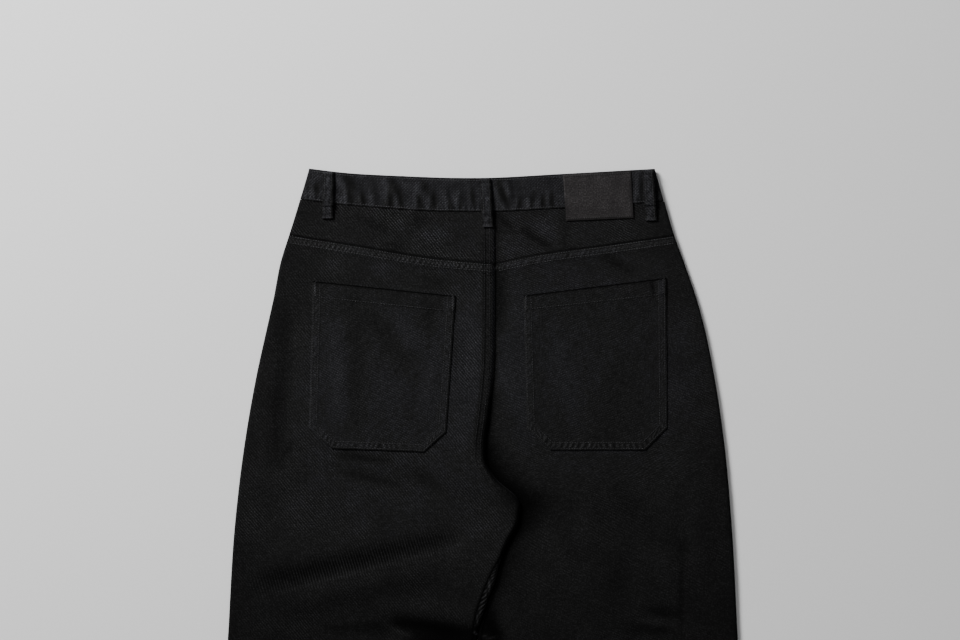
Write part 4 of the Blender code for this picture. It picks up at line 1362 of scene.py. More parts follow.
@dataclass
class Fronts:
    """The front leg panels, flat on the floor, with the pieces behind the pocket mouths."""

    form: Form
    finish: dict[Side, Material]
    side_seam_gap: float = 0.0006
    mouth_width: float = 0.080
    mouth_downs: tuple[float, float] = (0.062, 0.140)
    mouth_tuck: float = 0.014
    pocket_side_downs: tuple[float, float, float] = (0.041, 0.062, 0.156)
    rows_in: tuple[float, float] = (0.0020, 0.0080)
    rope_pitch: float = 0.0082
    rope_height: float = 0.00030
    rope_ends: tuple = ((0.548, 0.553), (0.600, 0.640))
    fly_across: float = 0.0127
    fly_downs: tuple[float, float] = (0.090, 0.190)
    fly_size: tuple[float, float] = (0.040, 0.045)
    top_down: float = 0.079
    outer_top: float = 0.062
    step: float = 0.0055
    columns: int = 56
    arc: int = 5

    def mouth(self, down: Array) -> Array:
        """How far the pocket's curved mouth cuts into the panel: a quarter ellipse."""
        deep = (down - self.mouth_downs[0]) / (self.mouth_downs[1] - self.mouth_downs[0])
        return self.mouth_width * np.sqrt(np.clip(1 - np.clip(deep, 0, 1) ** 2, 0, 1))

    def build(self, side: Side) -> None:
        """One panel, flat below the back, turned up round the inseam where the picture shows it.

        Args:
            side: Which half.
        """
        form = self.form
        turn = form.length - form.hem_depth
        near = self.top_down + (0.160 - self.top_down) * np.sin(np.linspace(0, math.pi / 2, 26))[:-1]
        spans = ((0.160, 0.395, self.step), (0.395, 0.600, 0.0014), (0.600, 1.100, 0.005))
        legs = np.concatenate([np.arange(*span) for span in spans])
        inner = np.concatenate([near, legs, [turn - 0.001, turn, form.length]])
        share = (inner - self.top_down) / (form.length - self.top_down)
        outer = form.outer_level(self.outer_top, share)
        inner, outer = inner[:, None], outer[:, None]
        roll = INNER_ROLL.at(inner, side.word + "_roll")
        edge = INNER_ROLL.at(inner, side.word + "_edge")
        end = INNER_LEG.at(inner, side.word + "_seam") - form.gap
        quarter = roll * math.pi / 2
        wraps = -quarter + np.linspace(0, 1, 2 * self.arc)[None] * (end + quarter)
        x_edge = form.inner_edge(side, inner)
        inward, _ = rolled(wraps, roll, 0, 0, 0)
        top = form.back_height(side, x_edge + side.out * inward, inner)
        _, height = rolled(wraps, roll, top, edge, 0)
        turned = ease(inner, form.crotch_down - 0.004, form.crotch_down + 0.014)
        twist = rope(inner + 2.0 * wraps, self.rope_pitch, 61 + side.out) * turned * (wraps > 0)
        height = height + self.rope_height * twist
        flat = (end - wraps) + (form.gap if side is LEFT else form.touch - form.gap)
        floor = form.floor_height(x_edge + side.out * flat, inner)
        x_inner = x_edge + side.out * (turned * inward + (1 - turned) * flat)
        z_inner = turned * height + (1 - turned) * floor

        cut_in = form.under_lip + self.side_seam_gap + self.mouth(outer)
        x_outer = form.outer_edge(side, outer) - side.out * cut_in
        part = np.linspace(0, 1, self.columns + 1)[None, :-1]
        x_flat = x_outer + part * (x_inner[:, :1] - x_outer)
        down_flat = outer + part * (inner - outer)
        z_flat = form.floor_height(x_flat, down_flat)
        x = np.concatenate([x_flat, x_inner], axis=1)
        down = np.concatenate([down_flat, np.broadcast_to(inner, x_inner.shape)], axis=1)
        points = form.points(x, down, np.concatenate([z_flat, z_inner], axis=1))
        wear = 0.15 * ripple(x, down, 0.030, 71 + side.out)
        above = turned * (wraps > 0)
        shade = np.ones_like(x)
        strip = slice(self.columns, None)
        if side is LEFT:
            wear[:, strip] += 1.9 * np.clip(twist, -0.4, 1) + 0.35 * above
            # Painted shade on the turned-up strip, darkest in a line along its edge
            shade[:, strip] *= 1 - above * (0.45 + 0.5 * bell(wraps, end, 0.0022))
            # Painted shade over the rope's end, with the painted curl highlight
            past = ease(inner, *self.rope_ends[0]) * (1 - ease(inner, *self.rope_ends[1]))
            rim = np.exp(lifted(PAINTED_CURL_HIGHLIGHT, x[:, strip], down[:, strip], 1))
            shade[:, strip] *= (1 - 0.80 * above * past) * rim
            wear[:, strip] *= 1 - 0.8 * past
        else:
            # Painted shade on the right's turned-up strip, under the left leg
            shade[:, strip] *= 1 - 0.9 * above
        surface = Surface(points, wear, form.thickness(inner), facing=-1, shade=shade)
        cloth_piece(f"front_panel_{side.word}", surface, self.finish[side])

    def build_pocket_side(self, side: Side) -> None:
        """The piece behind a front pocket's mouth.

        Args:
            side: Which half.
        """
        form = self.form
        rows = np.linspace(0, 1, 30)[:, None]
        part = np.linspace(0, 1, 26)[None]
        top_outer, top_inner, foot = self.pocket_side_downs
        outer = top_outer + rows * (foot - top_outer)
        inner = top_inner + rows * (foot - top_inner)
        near = form.outer_edge(side, outer) - side.out * (form.under_lip - form.outer_roll)
        reach = self.mouth(outer) + form.under_lip + self.mouth_tuck
        far = form.outer_edge(side, outer) - side.out * reach
        x = near + part * (far - near)
        down = np.maximum(outer + part * (inner - outer), form.front_line(BAND_FOOT, x) + form.gap)
        points = form.points(x, down, form.floor_height(x, down) + form.cloth + form.gap)
        surface = Surface(points, 0.15 * ripple(x, down, 0.03, 75), form.cloth, facing=-1)
        cloth_piece(f"pocket_side_{side.word}", surface, self.finish[side])

    def place(self, across: Array, down: Array) -> Array:
        """Points on the front's outer face."""
        return self.form.points(across, down, self.form.floor_height(across, down))

    def sew(self, thread: Stitching) -> None:
        """The pocket mouths' double rows, the centre seam, the fly's curved rows and the hems.

        Args:
            thread: Gathers the rows.
        """
        form = self.form
        for side in Side:
            down = np.linspace(self.mouth_downs[0] + 0.004, self.mouth_downs[1] - 0.001, 120)
            edge = form.under_lip + self.side_seam_gap + self.mouth(down)
            for offset in self.rows_in:
                thread.row(self.place, form.outer_edge(side, down) - side.out * (edge + offset), down)
            thread.row(self.place, *form.hem_row(side, form.under_lip + 0.002))
        down = np.linspace(0.086, 0.395, 240)
        for offset in self.rows_in:
            thread.row(self.place, SEAT_SEAM.at(down, "across") - offset, down)
        turn = np.linspace(0, math.pi / 2, 60)
        for inset in (0.0, 0.006):
            wide, deep = self.fly_size - np.array(inset)
            across = self.fly_across - wide * np.concatenate([np.ones(80), np.cos(turn)])
            down = self.fly_downs[1] + deep * np.sin(turn)
            down = np.concatenate([np.linspace(*self.fly_downs, 80), down])
            thread.row(self.place, across, down)


# The waistband's puckers: across, half width and depth in millimetres, then as shares of the band's
# height how far down the middle lies and how long half the pucker is, and its slant
PUCKERS = (
    (-159, 3, 0.55, 0.72, 0.3, 0.1), (-143, 2.6, 0.5, 0.8, 0.26, 0.15), (-158.5, 6, 0.38, 0.3, 0.34, 0.45),
    (-127, 3.6, 0.3, 0.7, 0.24, 0.1), (-110, 2.8, 0.6, 0.74, 0.3, 0.05),
    (-97.5, 2.6, 0.55, 0.78, 0.28, 0.1), (-103.5, 5, 0.35, 0.36, 0.3, 0.3),
    (-74.6, 3, 0.55, 0.76, 0.3, 0.1), (-67, 4.8, 0.3, 0.36, 0.26, 0.3), (-57.8, 2.8, 0.6, 0.74, 0.34, 0),
    (-38.5, 2.6, 0.36, 0.72, 0.3, 0.15), (-25.3, 2.6, 0.32, 0.7, 0.34, -0.1),
    (-10.2, 2.4, 0.36, 0.62, 0.4, 0.12), (25.5, 3.8, 0.55, 0.5, 0.4, 0.35), (35.7, 3, 0.22, 0.36, 0.3, 0.2),
    (45.8, 2.6, 0.45, 0.8, 0.24, -0.1), (60.2, 2.6, 0.45, 0.82, 0.22, -0.1),
    (73.4, 2.8, 0.5, 0.8, 0.24, -0.05), (84.3, 2.6, 0.5, 0.8, 0.26, 0), (-199, 2.6, 0.4, 0.7, 0.28, 0),
    (192, 2.6, 0.45, 0.6, 0.4, 0), (212, 2.8, 0.4, 0.6, 0.4, 0),
)


@dataclass
class Waistband:
    """The one long strip of the waistband, with its rows of stitches."""

    form: Form
    finish: Material
    cloth: float = 0.0020
    lap_cloth: float = 0.0010
    lap_half: float = 0.018
    lap_slope: float = 0.006
    turn_reach: float = 0.008
    end_steps: int = 16
    front_steps: int = 62
    step: float = 0.0016
    rows: int = 30
    arc: int = 4
    height: float = 0.042
    pucker_shade: float = 0.45

    def relief(self, across: Array, share: Array) -> tuple[Array, Array, Array]:
        """The back's puckers, its pressed-in rows and rounded edges, its wear, and its painted shade.

        Args:
            across: Places across.
            share: Shares of the way down the band.

        Returns:
            The rise, the wear with painted shade, and the painted shade.
        """
        down = share * self.height
        rise = 0.00010 * ripple(across, down, 0.016, 81)
        wear = 0.10 * ripple(across, down, 0.022, 83)
        tone = 0.045 + 0.08 * ripple(across, down, 0.030, 87)
        for *lengths, middle, half_length, slant in PUCKERS:
            x, half_width, depth = (length / 1000 for length in lengths)
            line = x + slant * self.height * (share - middle)
            fold = bell(across, line, half_width) * bell(share, middle, half_length)
            ridge = bell(across, line - 2.1 * half_width, half_width) * bell(share, middle, half_length)
            rise = rise - depth * fold + 0.55 * depth * ridge
            # Painted shade darkens the puckers, in the wear and in the tone; their ridges are lighter as wear
            wear = wear - 0.4 * fold + 0.45 * ridge
            tone = tone - self.pucker_shade * (depth / 0.0005) * fold
        twist = rope(across, 0.0062, 85)
        low = bell(share, 0.90, 0.07)
        rise = rise + 0.00012 * twist * low - 0.00020 * (bell(share, 0.06, 0.020) + bell(share, 0.945, 0.022))
        edge = ease(share, 0.0, 0.035) * (1 - ease(share, 0.975, 1.0))
        wear = wear + 0.5 * twist * low + 0.15 * (1 - edge)
        # Painted shade along the band's foot
        tone = tone - 1.2 * bell(share, 1.0, 0.016)
        return rise - 0.0005 * (1 - edge), wear, np.exp(tone)

    def build(self) -> None:
        """The strip from its under end at the front, round the back, to the end lapped over it."""
        form = self.form
        roll = form.outer_roll
        quarter = roll * math.pi / 2
        half_turn = np.linspace(-quarter, quarter, 2 * self.arc + 1)
        inward, turn_height = rolled(half_turn, np.float64(roll), 1.0, 0.5, 0.0)
        lap, free = form.button_across + self.lap_half, form.button_across - self.lap_half
        half = OUTLINE.rows[0][2]
        turn, ends, rest = half - self.turn_reach, self.end_steps, self.front_steps
        under = np.concatenate(
            [np.linspace(free, lap + form.gap, ends), np.linspace(lap + self.lap_slope, turn, rest)]
        )
        over = np.concatenate(
            [np.linspace(-turn, free - self.lap_slope, rest), np.linspace(free - form.gap, lap, ends)]
        )
        count = int(2 * (half - roll) / self.step)
        back = np.linspace(half - roll, -half + roll, count)[1:-1]
        across = np.concatenate([under, half - inward, back, -half + inward[::-1], over])
        front = np.zeros(len(under))
        level = np.concatenate([front, turn_height, np.ones(len(back)), turn_height[::-1], front])
        raised = np.zeros(len(across))
        raised[:ends] = self.lap_cloth + form.gap
        thick = np.full(len(across), self.cloth)
        thick[:ends] = thick[-ends:] = self.lap_cloth
        share = np.linspace(0, 1, self.rows + 1)[:, None]
        spread = OUTLINE.rows[1][2] / half
        x = across[None] * (1 + share * (spread - 1))
        back_top, back_foot = BAND_TOP.at(x), BAND_FOOT.at(x) - form.gap / 2
        front_top = form.front_line(BAND_TOP, x)
        front_foot = form.front_line(BAND_FOOT, x) - form.gap / 2
        back_down = back_top + share * (back_foot - back_top)
        front_down = front_top + share * (front_foot - front_top)
        down = front_down + level * (back_down - front_down)
        floor = form.floor_height(x, down)
        rise, wear, shade = self.relief(x, share)
        on_back = ease(level, 0.6, 1.0)
        z = floor + raised + level * (form.band_level - floor) + rise * on_back
        wear = wear * (0.3 + 0.7 * on_back)
        surface = Surface(form.points(x, down, z), wear, np.broadcast_to(thick, x.shape), shade=shade)
        cloth_piece("waistband", surface, self.finish)

    def place(self, across: Array, down: Array) -> Array:
        """Points on the back's outer face."""
        top, foot = BAND_TOP.at(across), BAND_FOOT.at(across)
        rise = self.relief(across, (down - top) / (foot - top))[0]
        return self.form.points(across, down, self.form.band_level + rise)

    def sew(self, thread: Stitching) -> None:
        """The rows under the top edge and above the foot.

        Args:
            thread: Gathers the rows.
        """
        across = np.linspace(-0.203, 0.203, 500)
        thread.row(self.place, across, BAND_TOP.at(across) + 0.0028)
        across = np.linspace(-0.212, 0.212, 500)
        thread.row(self.place, across, BAND_FOOT.at(across) - 0.0022)


@dataclass(frozen=True)
class Pocket:
    """A back pocket's corners, each as (across, down), clockwise from the top left."""

    side: Side
    corners: tuple[tuple[float, float], ...]
    hem: tuple[float, float]

    def edges(self) -> list[tuple[Array, Array]]:
        """Each edge but the mouth, as its start and its unit direction."""
        points = np.array(self.corners)
        pairs = zip(points[1:], np.roll(points, -1, axis=0)[1:])
        return [(a, (b - a) / np.linalg.norm(b - a)) for a, b in pairs]

    def inset(self, across: Array, down: Array) -> Array:
        """How far in from the nearest sewn edge a place is.

        Args:
            across, down: The places.

        Returns:
            Distances, negative outside.
        """
        nearest = np.full(np.broadcast(across, down).shape, 1.0)
        for start, way in self.edges():
            away = (across - start[0]) * -way[1] + (down - start[1]) * way[0]
            nearest = np.minimum(nearest, away)
        return nearest

    def mouth(self, part: Array) -> tuple[Array, Array]:
        """The mouth's line at shares of its length, as across and down."""
        (x0, d0), (x1, d1) = self.corners[:2]
        return x0 + part * (x1 - x0), d0 + part * (d1 - d0)

    def hem_depth(self, part: Array) -> Array:
        """How far below the mouth the hem's row lies, at shares of the mouth."""
        return self.hem[0] + part * (self.hem[1] - self.hem[0])

    def below_mouth(self, across: Array, down: Array) -> Array:
        """How far below the mouth a place is."""
        (x0, d0), (x1, d1) = self.corners[0], self.corners[1]
        return down - d0 - (across - x0) * (d1 - d0) / (x1 - x0)


POCKETS = (
    Pocket(
        LEFT,
        (
            (-0.2035, 0.1355), (-0.0319, 0.1535), (-0.0433, 0.3173),
            (-0.0698, 0.3413), (-0.1806, 0.3371), (-0.2083, 0.3124),
        ),
        (0.0185, 0.0185),
    ),
    Pocket(
        RIGHT,
        (
            (0.0500, 0.1529), (0.2215, 0.1318), (0.2227, 0.3124),
            (0.1963, 0.3389), (0.0819, 0.3389), (0.0542, 0.3124),
        ),
        (0.0170, 0.0190),
    ),
)

# Soft hollows and swells of the pockets, in millimetres; also painted darker in the hollows and lighter on
# the swells
POCKET_FOLDS = {
    LEFT: (
        (-173, 195, -171, 300, 11, 0.6), (-150, 168, -152, 305, 12, -0.6),
        (-136, 176, -86.5, 241, 11, -0.6), (-106, 178, -76, 215, 13, 0.5), (-62, 165, -63.5, 195, 7, -0.6),
        (-113, 250, -108, 300, 12, 0.3), (-60, 230, -66, 300, 11, 0.4),
    ),
    RIGHT: (
        (205, 135, 208.5, 155, 2.2, -1.6), (214.5, 135, 216.5, 153, 3.4, 0.9), (90, 200, 110, 300, 20, 0.4),
        (180, 230, 150, 320, 18, -0.3),
    ),
}


@dataclass
class BackPockets:
    """The two large back pockets, sewn round their sides and foot with two rows."""

    form: Form
    finish: dict[Side, Material]
    cloth: float = 0.0012
    turned_in: float = 0.0100
    step: float = 0.0018
    rows_in: tuple[float, float] = (0.0020, 0.0088)
    # Painted light: the left pocket is drawn lighter than the right
    base: dict[Side, float] = field(default_factory=lambda: {LEFT: 0.95, RIGHT: 0.87})
    blotches: tuple = ((0.045, 0.030, 97), (0.06, 0.011, 99))
    tack_ends: tuple[float, float] = (0.018, 0.982)
    tack_stitches: int = 11
    tack_step: float = 0.0016
    tack_length: float = 0.0044
    mouth_shade: float = 2.6
    lee_shade: dict[Side, float] = field(default_factory=lambda: {LEFT: 0.9, RIGHT: 0.2})

    def shade(self, pocket: Pocket, across: Array, down: Array) -> Array:
        """Painted light and shade as a factor: dark under the mouth's edge, and on the edges away from the
        light.

        Args:
            pocket: Which pocket.
            across, down: The places.

        Returns:
            Factors on the colour.
        """
        inset, below = pocket.inset(across, down), pocket.below_mouth(across, down)
        middle = np.mean(np.array(pocket.corners)[:, 0])
        unlit = np.maximum(ease(across, middle, middle + 0.04), ease(down, 0.325, 0.336))
        total = ripples(self.blotches, across, down, pocket.side.out)
        # Painted shadow under the mouth's edge
        total = total - self.mouth_shade * bell(below, 0.0003, 0.0011)
        # Painted shadow on the edges away from the light
        total = total - self.lee_shade[pocket.side] * unlit * bell(inset, 0.0, 0.0009)
        # Painted shade in the folds' hollows and light on their swells
        total = total + 420 * lifted(POCKET_FOLDS[pocket.side], across, down)
        # Painted light falloff and the painted side light
        return PAINTED_LIGHT_FALLOFF.at(down, pocket.side.word) * self.base[pocket.side] * np.exp(total)

    def relief(self, pocket: Pocket, across: Array, down: Array) -> tuple[Array, Array]:
        """The turned-in edges, the hem, the pressed rows with puckers between, and the wear.

        Args:
            pocket: Which pocket.
            across, down: The places.

        Returns:
            The rise above the flat cloth, and the wear.
        """
        inset = pocket.inset(across, down)
        below = pocket.below_mouth(across, down)
        part = (across - pocket.corners[0][0]) / (pocket.corners[1][0] - pocket.corners[0][0])
        hem_at = pocket.hem_depth(part)
        turned = 1 - ease(inset, self.turned_in - 0.001, self.turned_in + 0.0015)
        hem = 1 - ease(below - hem_at, -0.0002, 0.0012)
        rise = 0.00032 * turned + 0.00036 * hem + 0.00010 * ripple(across, down, 0.024, 91)
        foot = ease(down, 0.300, 0.330)
        along = down - np.abs(across - np.mean(np.array(pocket.corners)[:, 0]))
        twist = rope(along + 0.5 * inset, 0.0072, 93 + pocket.side.out)
        between = bell(inset, 0.0054, 0.0028) * ease(below, 0.004, 0.02)
        rise = rise + 0.00026 * twist * between * (0.55 + 0.75 * foot)
        outside = bell(inset, 0.0135, 0.0040) * ease(below, 0.004, 0.02)
        rise = rise + 0.00010 * twist * outside
        rows = bell(inset, self.rows_in[0], 0.0008) + bell(inset, self.rows_in[1], 0.0009)
        rise = rise - 0.00018 * rows
        rise = rise - 0.0006 * (1 - ease(np.minimum(inset, below), 0.0, 0.0012))
        wear = between * (0.15 + 0.75 * twist * (0.6 + 0.6 * foot)) - 0.28 * rows
        wear = wear + 0.5 * bell(inset, 0.0, 0.0012)
        return rise + lifted(POCKET_FOLDS[pocket.side], across, down), wear

    def height(self, pocket: Pocket, across: Array, down: Array) -> Array:
        """The pocket's outer face above the floor."""
        under = self.form.back_height(pocket.side, across, down)
        under = under + np.maximum(self.form.creases(pocket.side, across, down), 0)
        return under + self.form.gap + self.cloth + self.relief(pocket, across, down)[0]

    def build(self, pocket: Pocket) -> None:
        """One pocket: straight columns from the mouth to a foot with its corners cut off.

        Args:
            pocket: Which pocket.
        """
        corners = np.array(pocket.corners)
        foot = corners[[5, 4, 3, 2]]
        shares = (foot[:, 0] - foot[0, 0]) / (foot[-1, 0] - foot[0, 0])
        width = foot[-1, 0] - foot[0, 0]
        spans = [
            np.linspace(a, b, max(2, int((b - a) * width / self.step)), endpoint=False)
            for a, b in zip(shares[:-1], shares[1:])
        ]
        columns = np.concatenate([*spans, [1.0]])
        ends = np.stack([np.interp(columns, shares, foot[:, axis]) for axis in (0, 1)], axis=1)
        mouth = corners[0] + columns[:, None] * (corners[1] - corners[0])
        rows = np.linspace(0, 1, 100)
        rows = np.unique(np.concatenate([rows, [0.002, 0.005, 0.0075, 0.995, 0.998]]))[:, None, None]
        grid = mouth[None] + rows * (ends - mouth)[None]
        across, down = grid[..., 0], grid[..., 1]
        points = self.form.points(across, down, self.height(pocket, across, down))
        shade = self.shade(pocket, across, down)
        surface = Surface(points, self.relief(pocket, across, down)[1], self.cloth, shade=shade)
        word = pocket.side.word
        cloth_piece(f"back_pocket_{word}", surface, self.finish[pocket.side])

    def inner_line(self, pocket: Pocket, inset: float) -> tuple[Array, Array]:
        """A line round the sides and foot, a distance in from the edges, as across and down.

        Args:
            pocket: Which pocket.
            inset: How far in.

        Returns:
            Closely spaced places across, and distances down.
        """
        edges = pocket.edges()
        inward = [np.array([-way[1], way[0]]) for _, way in edges]
        moved = [(start + inset * turn, way) for (start, way), turn in zip(edges, inward)]
        mouth = (np.array(pocket.corners[0]), np.array(pocket.corners[1]) - np.array(pocket.corners[0]))
        lines = [mouth, *moved, mouth]
        places = []
        for (p, u), (q, v) in zip(lines[:-1], lines[1:]):
            reach = np.linalg.solve(np.stack([u, -v], axis=1), q - p)[0]
            places.append(p + reach * u)
        places = np.array(places)
        steps = run_of(places)
        at = np.arange(0.0012, steps[-1] - 0.0012, 0.0015)
        return np.interp(at, steps, places[:, 0]), np.interp(at, steps, places[:, 1])

    def place(self, pocket: Pocket) -> Place:
        """Gives points of a pocket's outer face at (across, down)."""
        return lambda across, down: self.form.points(across, down, self.height(pocket, across, down))

    def sew(self, thread: Stitching) -> None:
        """Two rows round each pocket and the hem's row.

        Args:
            thread: Gathers the rows.
        """
        part = np.linspace(0.055, 0.945, 160)
        for pocket in POCKETS:
            for inset in self.rows_in:
                thread.row(self.place(pocket), *self.inner_line(pocket, inset))
            across, down = pocket.mouth(part)
            thread.row(self.place(pocket), across, down + pocket.hem_depth(part))

    def tack(self, thread: Stitching) -> None:
        """The bar tacks at both ends of each mouth: slanting stitches one below the other.

        Args:
            thread: Gathers the rows.
        """
        wide, slope = np.linspace(-0.0021, 0.0021, 5), np.linspace(-0.0011, 0.0011, 5)
        for pocket in POCKETS:
            for end in self.tack_ends:
                across, down = pocket.mouth(end)
                for step in range(self.tack_stitches):
                    slant = slope if step % 2 else -slope
                    level = down + 0.0012 + step * self.tack_step
                    thread.row(self.place(pocket), across + wide, level + slant, self.tack_length)


@dataclass(frozen=True)
class Loop:
    """A back belt loop: the middle of its top and bottom ends, and its width."""

    name: str
    top_across: float
    foot_across: float
    foot_down: float
    width: float


BACK_LOOPS = (
    Loop("back_left", -0.1846, -0.1858, 0.0600, 0.0132),
    Loop("back_centre", 0.0040, 0.0072, 0.0705, 0.0130),
    Loop("back_right", 0.1993, 0.2037, 0.0625, 0.0140),
)


@dataclass
class BeltLoops:
    """The belt loops: three over the back's waistband and two pressed flat under the front's."""

    form: Form
    finish: Material
    thick: float = 0.0022
    arch: float = 0.0020
    steps: int = 64
    front_across: float = 0.112
    front_size: tuple[float, float, float] = (0.013, 0.050, 0.0012)

    def section(self) -> tuple[Array, Array]:
        """A flat strap's top with rounded edges: places across as shares of the width, and drops."""
        share = np.sin(np.linspace(-1, 1, 17) * math.pi / 2) / 2
        drop = 0.0009 * (np.abs(share) * 2) ** 6
        return share, drop + 0.00012 * bell(np.abs(share), 0.33, 0.05) - 0.0001 * bell(share, 0, 0.2)

    def spine(self, loop: Loop) -> tuple[Array, Array, Array]:
        """The loop's middle line: across, down, and the height of its underside.

        Args:
            loop: Which loop.

        Returns:
            Three values a step along the loop.
        """
        part = np.linspace(0, 1, self.steps + 1)
        top = float(BAND_TOP.at(loop.top_across)) + 0.001
        across = loop.top_across + part * (loop.foot_across - loop.top_across)
        down = top + part * (loop.foot_down - top)
        side = LEFT if loop.top_across < 0.0157 else RIGHT
        foot = BAND_FOOT.at(across)
        edges = across[None] + loop.width * np.array([[-0.5], [0.0], [0.5]])
        on_yoke = self.form.back_height(side, edges, down[None]).max(axis=0)
        under = np.where(down < foot + 0.004, self.form.band_level, on_yoke)
        under = under + self.form.gap + self.arch * np.sin(math.pi * part).clip(0) ** 0.7
        return across, down, under

    def build_back(self, loop: Loop) -> None:
        """A strap sewn down at both ends and standing proud between them, its ends turned under.

        Args:
            loop: Which loop.
        """
        across, down, under = self.spine(loop)
        share, drop = self.section()
        part = np.linspace(0, 1, self.steps + 1)[:, None]
        ends = bell(part, 0.0, 0.035) + bell(part, 1.0, 0.035)
        tuck = bell(part, 0.085, 0.018) + bell(part, 0.915, 0.018)
        x = across[:, None] + loop.width * share[None] * (1 + 0.05 * ends)
        d = np.broadcast_to(down[:, None], x.shape)
        wave = 0.00010 * ripple(x, d, 0.012, 101)
        z = under[:, None] + self.thick - drop[None] + wave + 0.0003 * ends - 0.00015 * tuck
        # Lighter at the ends and, as a painted highlight, along the middle; painted shade at the tucks, at
        # the edges and towards the right side, away from the light
        wear = 0.20 * ripple(x, d, 0.010, 103) + 0.6 * ends - 0.3 * tuck + 0.3 * bell(share, 0.0, 0.2)
        shade = 1.0 - 0.25 * ease(np.abs(share), 0.36, 0.5) - 0.30 * ease(share, 0.12, 0.45) + 0 * part
        surface = Surface(self.form.points(x, d, z), wear, self.thick - 0.0005, shade=shade)
        cloth_piece(f"belt_loop_{loop.name}", surface, self.finish)

    def build_front(self, side: Side) -> None:
        """A loop under the garment, pressed flat between the waistband and the floor.

        Args:
            side: Which half.
        """
        width, length, thick = self.front_size
        middle = side.out * self.front_across
        share, drop = self.section()
        top = float(self.form.front_line(BAND_TOP, middle)) + 0.001
        part = np.linspace(0, 1, 40)[:, None]
        x = middle + width * share[None]
        d = top + part * length
        points = self.form.points(x, d, 0.25 * drop)
        surface = Surface(points, 0.25 * ripple(x, d, 0.010, 105), thick - 0.0002, facing=-1)
        cloth_piece(f"belt_loop_front_{side.word}", surface, self.finish)

    def sew(self, thread: Stitching) -> None:
        """Two rows along each back loop, and bar tacks across both of its ends.

        Args:
            thread: Gathers the rows.
        """
        for loop in BACK_LOOPS:
            across, down, under = self.spine(loop)
            top = under + self.thick

            def place(x: Array, d: Array, down: Array = down, top: Array = top) -> Array:
                """Points on the strap's top."""
                return self.form.points(x, d, np.interp(d, down, top))

            for offset in (-0.30, 0.30):
                thread.row(place, across[3:-3] + offset * loop.width, down[3:-3])
            for end in (1, -2):
                way = 1 if end == 1 else -1
                for step in range(3):
                    d = down[end] + way * step * 0.0010
                    x = across[end] + loop.width * np.linspace(-0.40, 0.40, 20)
                    thread.row(place, x, np.full(20, d), 0.0022)


@dataclass
class Patch:
    """The bare leather patch over the waistband, its foot bent down onto the yoke."""

    form: Form
    finish: Material
    corners: tuple = ((0.0975, 0.0078), (0.1794, 0.0030), (0.1824, 0.0596), (0.1011, 0.0632))
    leather: float = 0.0012
    drop_reach: float = 0.0170
    drop_share: float = 0.45
    steps: tuple[int, int] = (70, 50)

    def under(self, across: Array, down: Array) -> Array:
        """What the patch lies on: the waistband, and past its foot a soft step down to the yoke.

        Args:
            across, down: The places.

        Returns:
            Heights above the floor.
        """
        foot = BAND_FOOT.at(across)
        yoke = self.form.back_height(RIGHT, across, down)
        step = ease(down - foot, 0.0, self.drop_reach) * self.drop_share
        return np.maximum(self.form.band_level * (1 - step) + yoke * step, yoke)

    def place(self, across: Array, down: Array) -> Array:
        """Points on the patch's face."""
        z = self.under(across, down) + self.form.gap + self.leather
        z = z + 0.00012 * ripple(across, down, 0.018, 111)
        return self.form.points(across, down, z)

    def build(self) -> None:
        """A grid between the four corners, with its edges rounded over."""
        c = np.array(self.corners)
        part = np.linspace(0, 1, self.steps[0] + 1)[None, :, None]
        rows = np.linspace(0, 1, self.steps[1] + 1)[:, None, None]
        grid = (c[0] + part * (c[1] - c[0])) * (1 - rows) + (c[3] + part * (c[2] - c[3])) * rows
        across, down = grid[..., 0], grid[..., 1]
        size = np.linalg.norm(c[1] - c[0]), np.linalg.norm(c[3] - c[0])
        edge = np.minimum(
            np.minimum(part, 1 - part)[..., 0] * size[0], np.minimum(rows, 1 - rows)[..., 0] * size[1]
        )
        points = self.place(across, down)
        points[..., 2] -= 0.0005 * (1 - ease(edge, 0.0, 0.0014))
        # Painted highlight on the two edges towards the light, painted shade on the other two, and a darker
        # line 2.4 mm in from the edges
        lit_side = 1 - np.maximum(ease(part[..., 0], 0.4, 0.6), ease(rows[..., 0], 0.4, 0.6))
        wear = bell(edge, 0.0, 0.0012) * (1.6 * lit_side - 1.0) - 0.35 * bell(edge, 0.0024, 0.0008)
        surface = Surface(points, wear, self.leather - 0.0001)
        cloth_piece("leather_patch", surface, self.finish, "face")

    def sew(self, thread: Stitching) -> None:
        """The rows just inside the top and bottom edges.

        Args:
            thread: Gathers the rows.
        """
        c = np.array(self.corners)
        centre = c.mean(axis=0)
        size = np.linalg.norm(c[1] - c[0]), np.linalg.norm(c[3] - c[0])
        inner = centre + (c - centre) * (1 - 2 * 0.0024 / np.array(size))
        for a, b in ((inner[0], inner[1]), (inner[3], inner[2])):
            line = a + np.linspace(0, 1, 80)[:, None] * (b - a)
            thread.row(self.place, line[:, 0], line[:, 1], 0.0026)


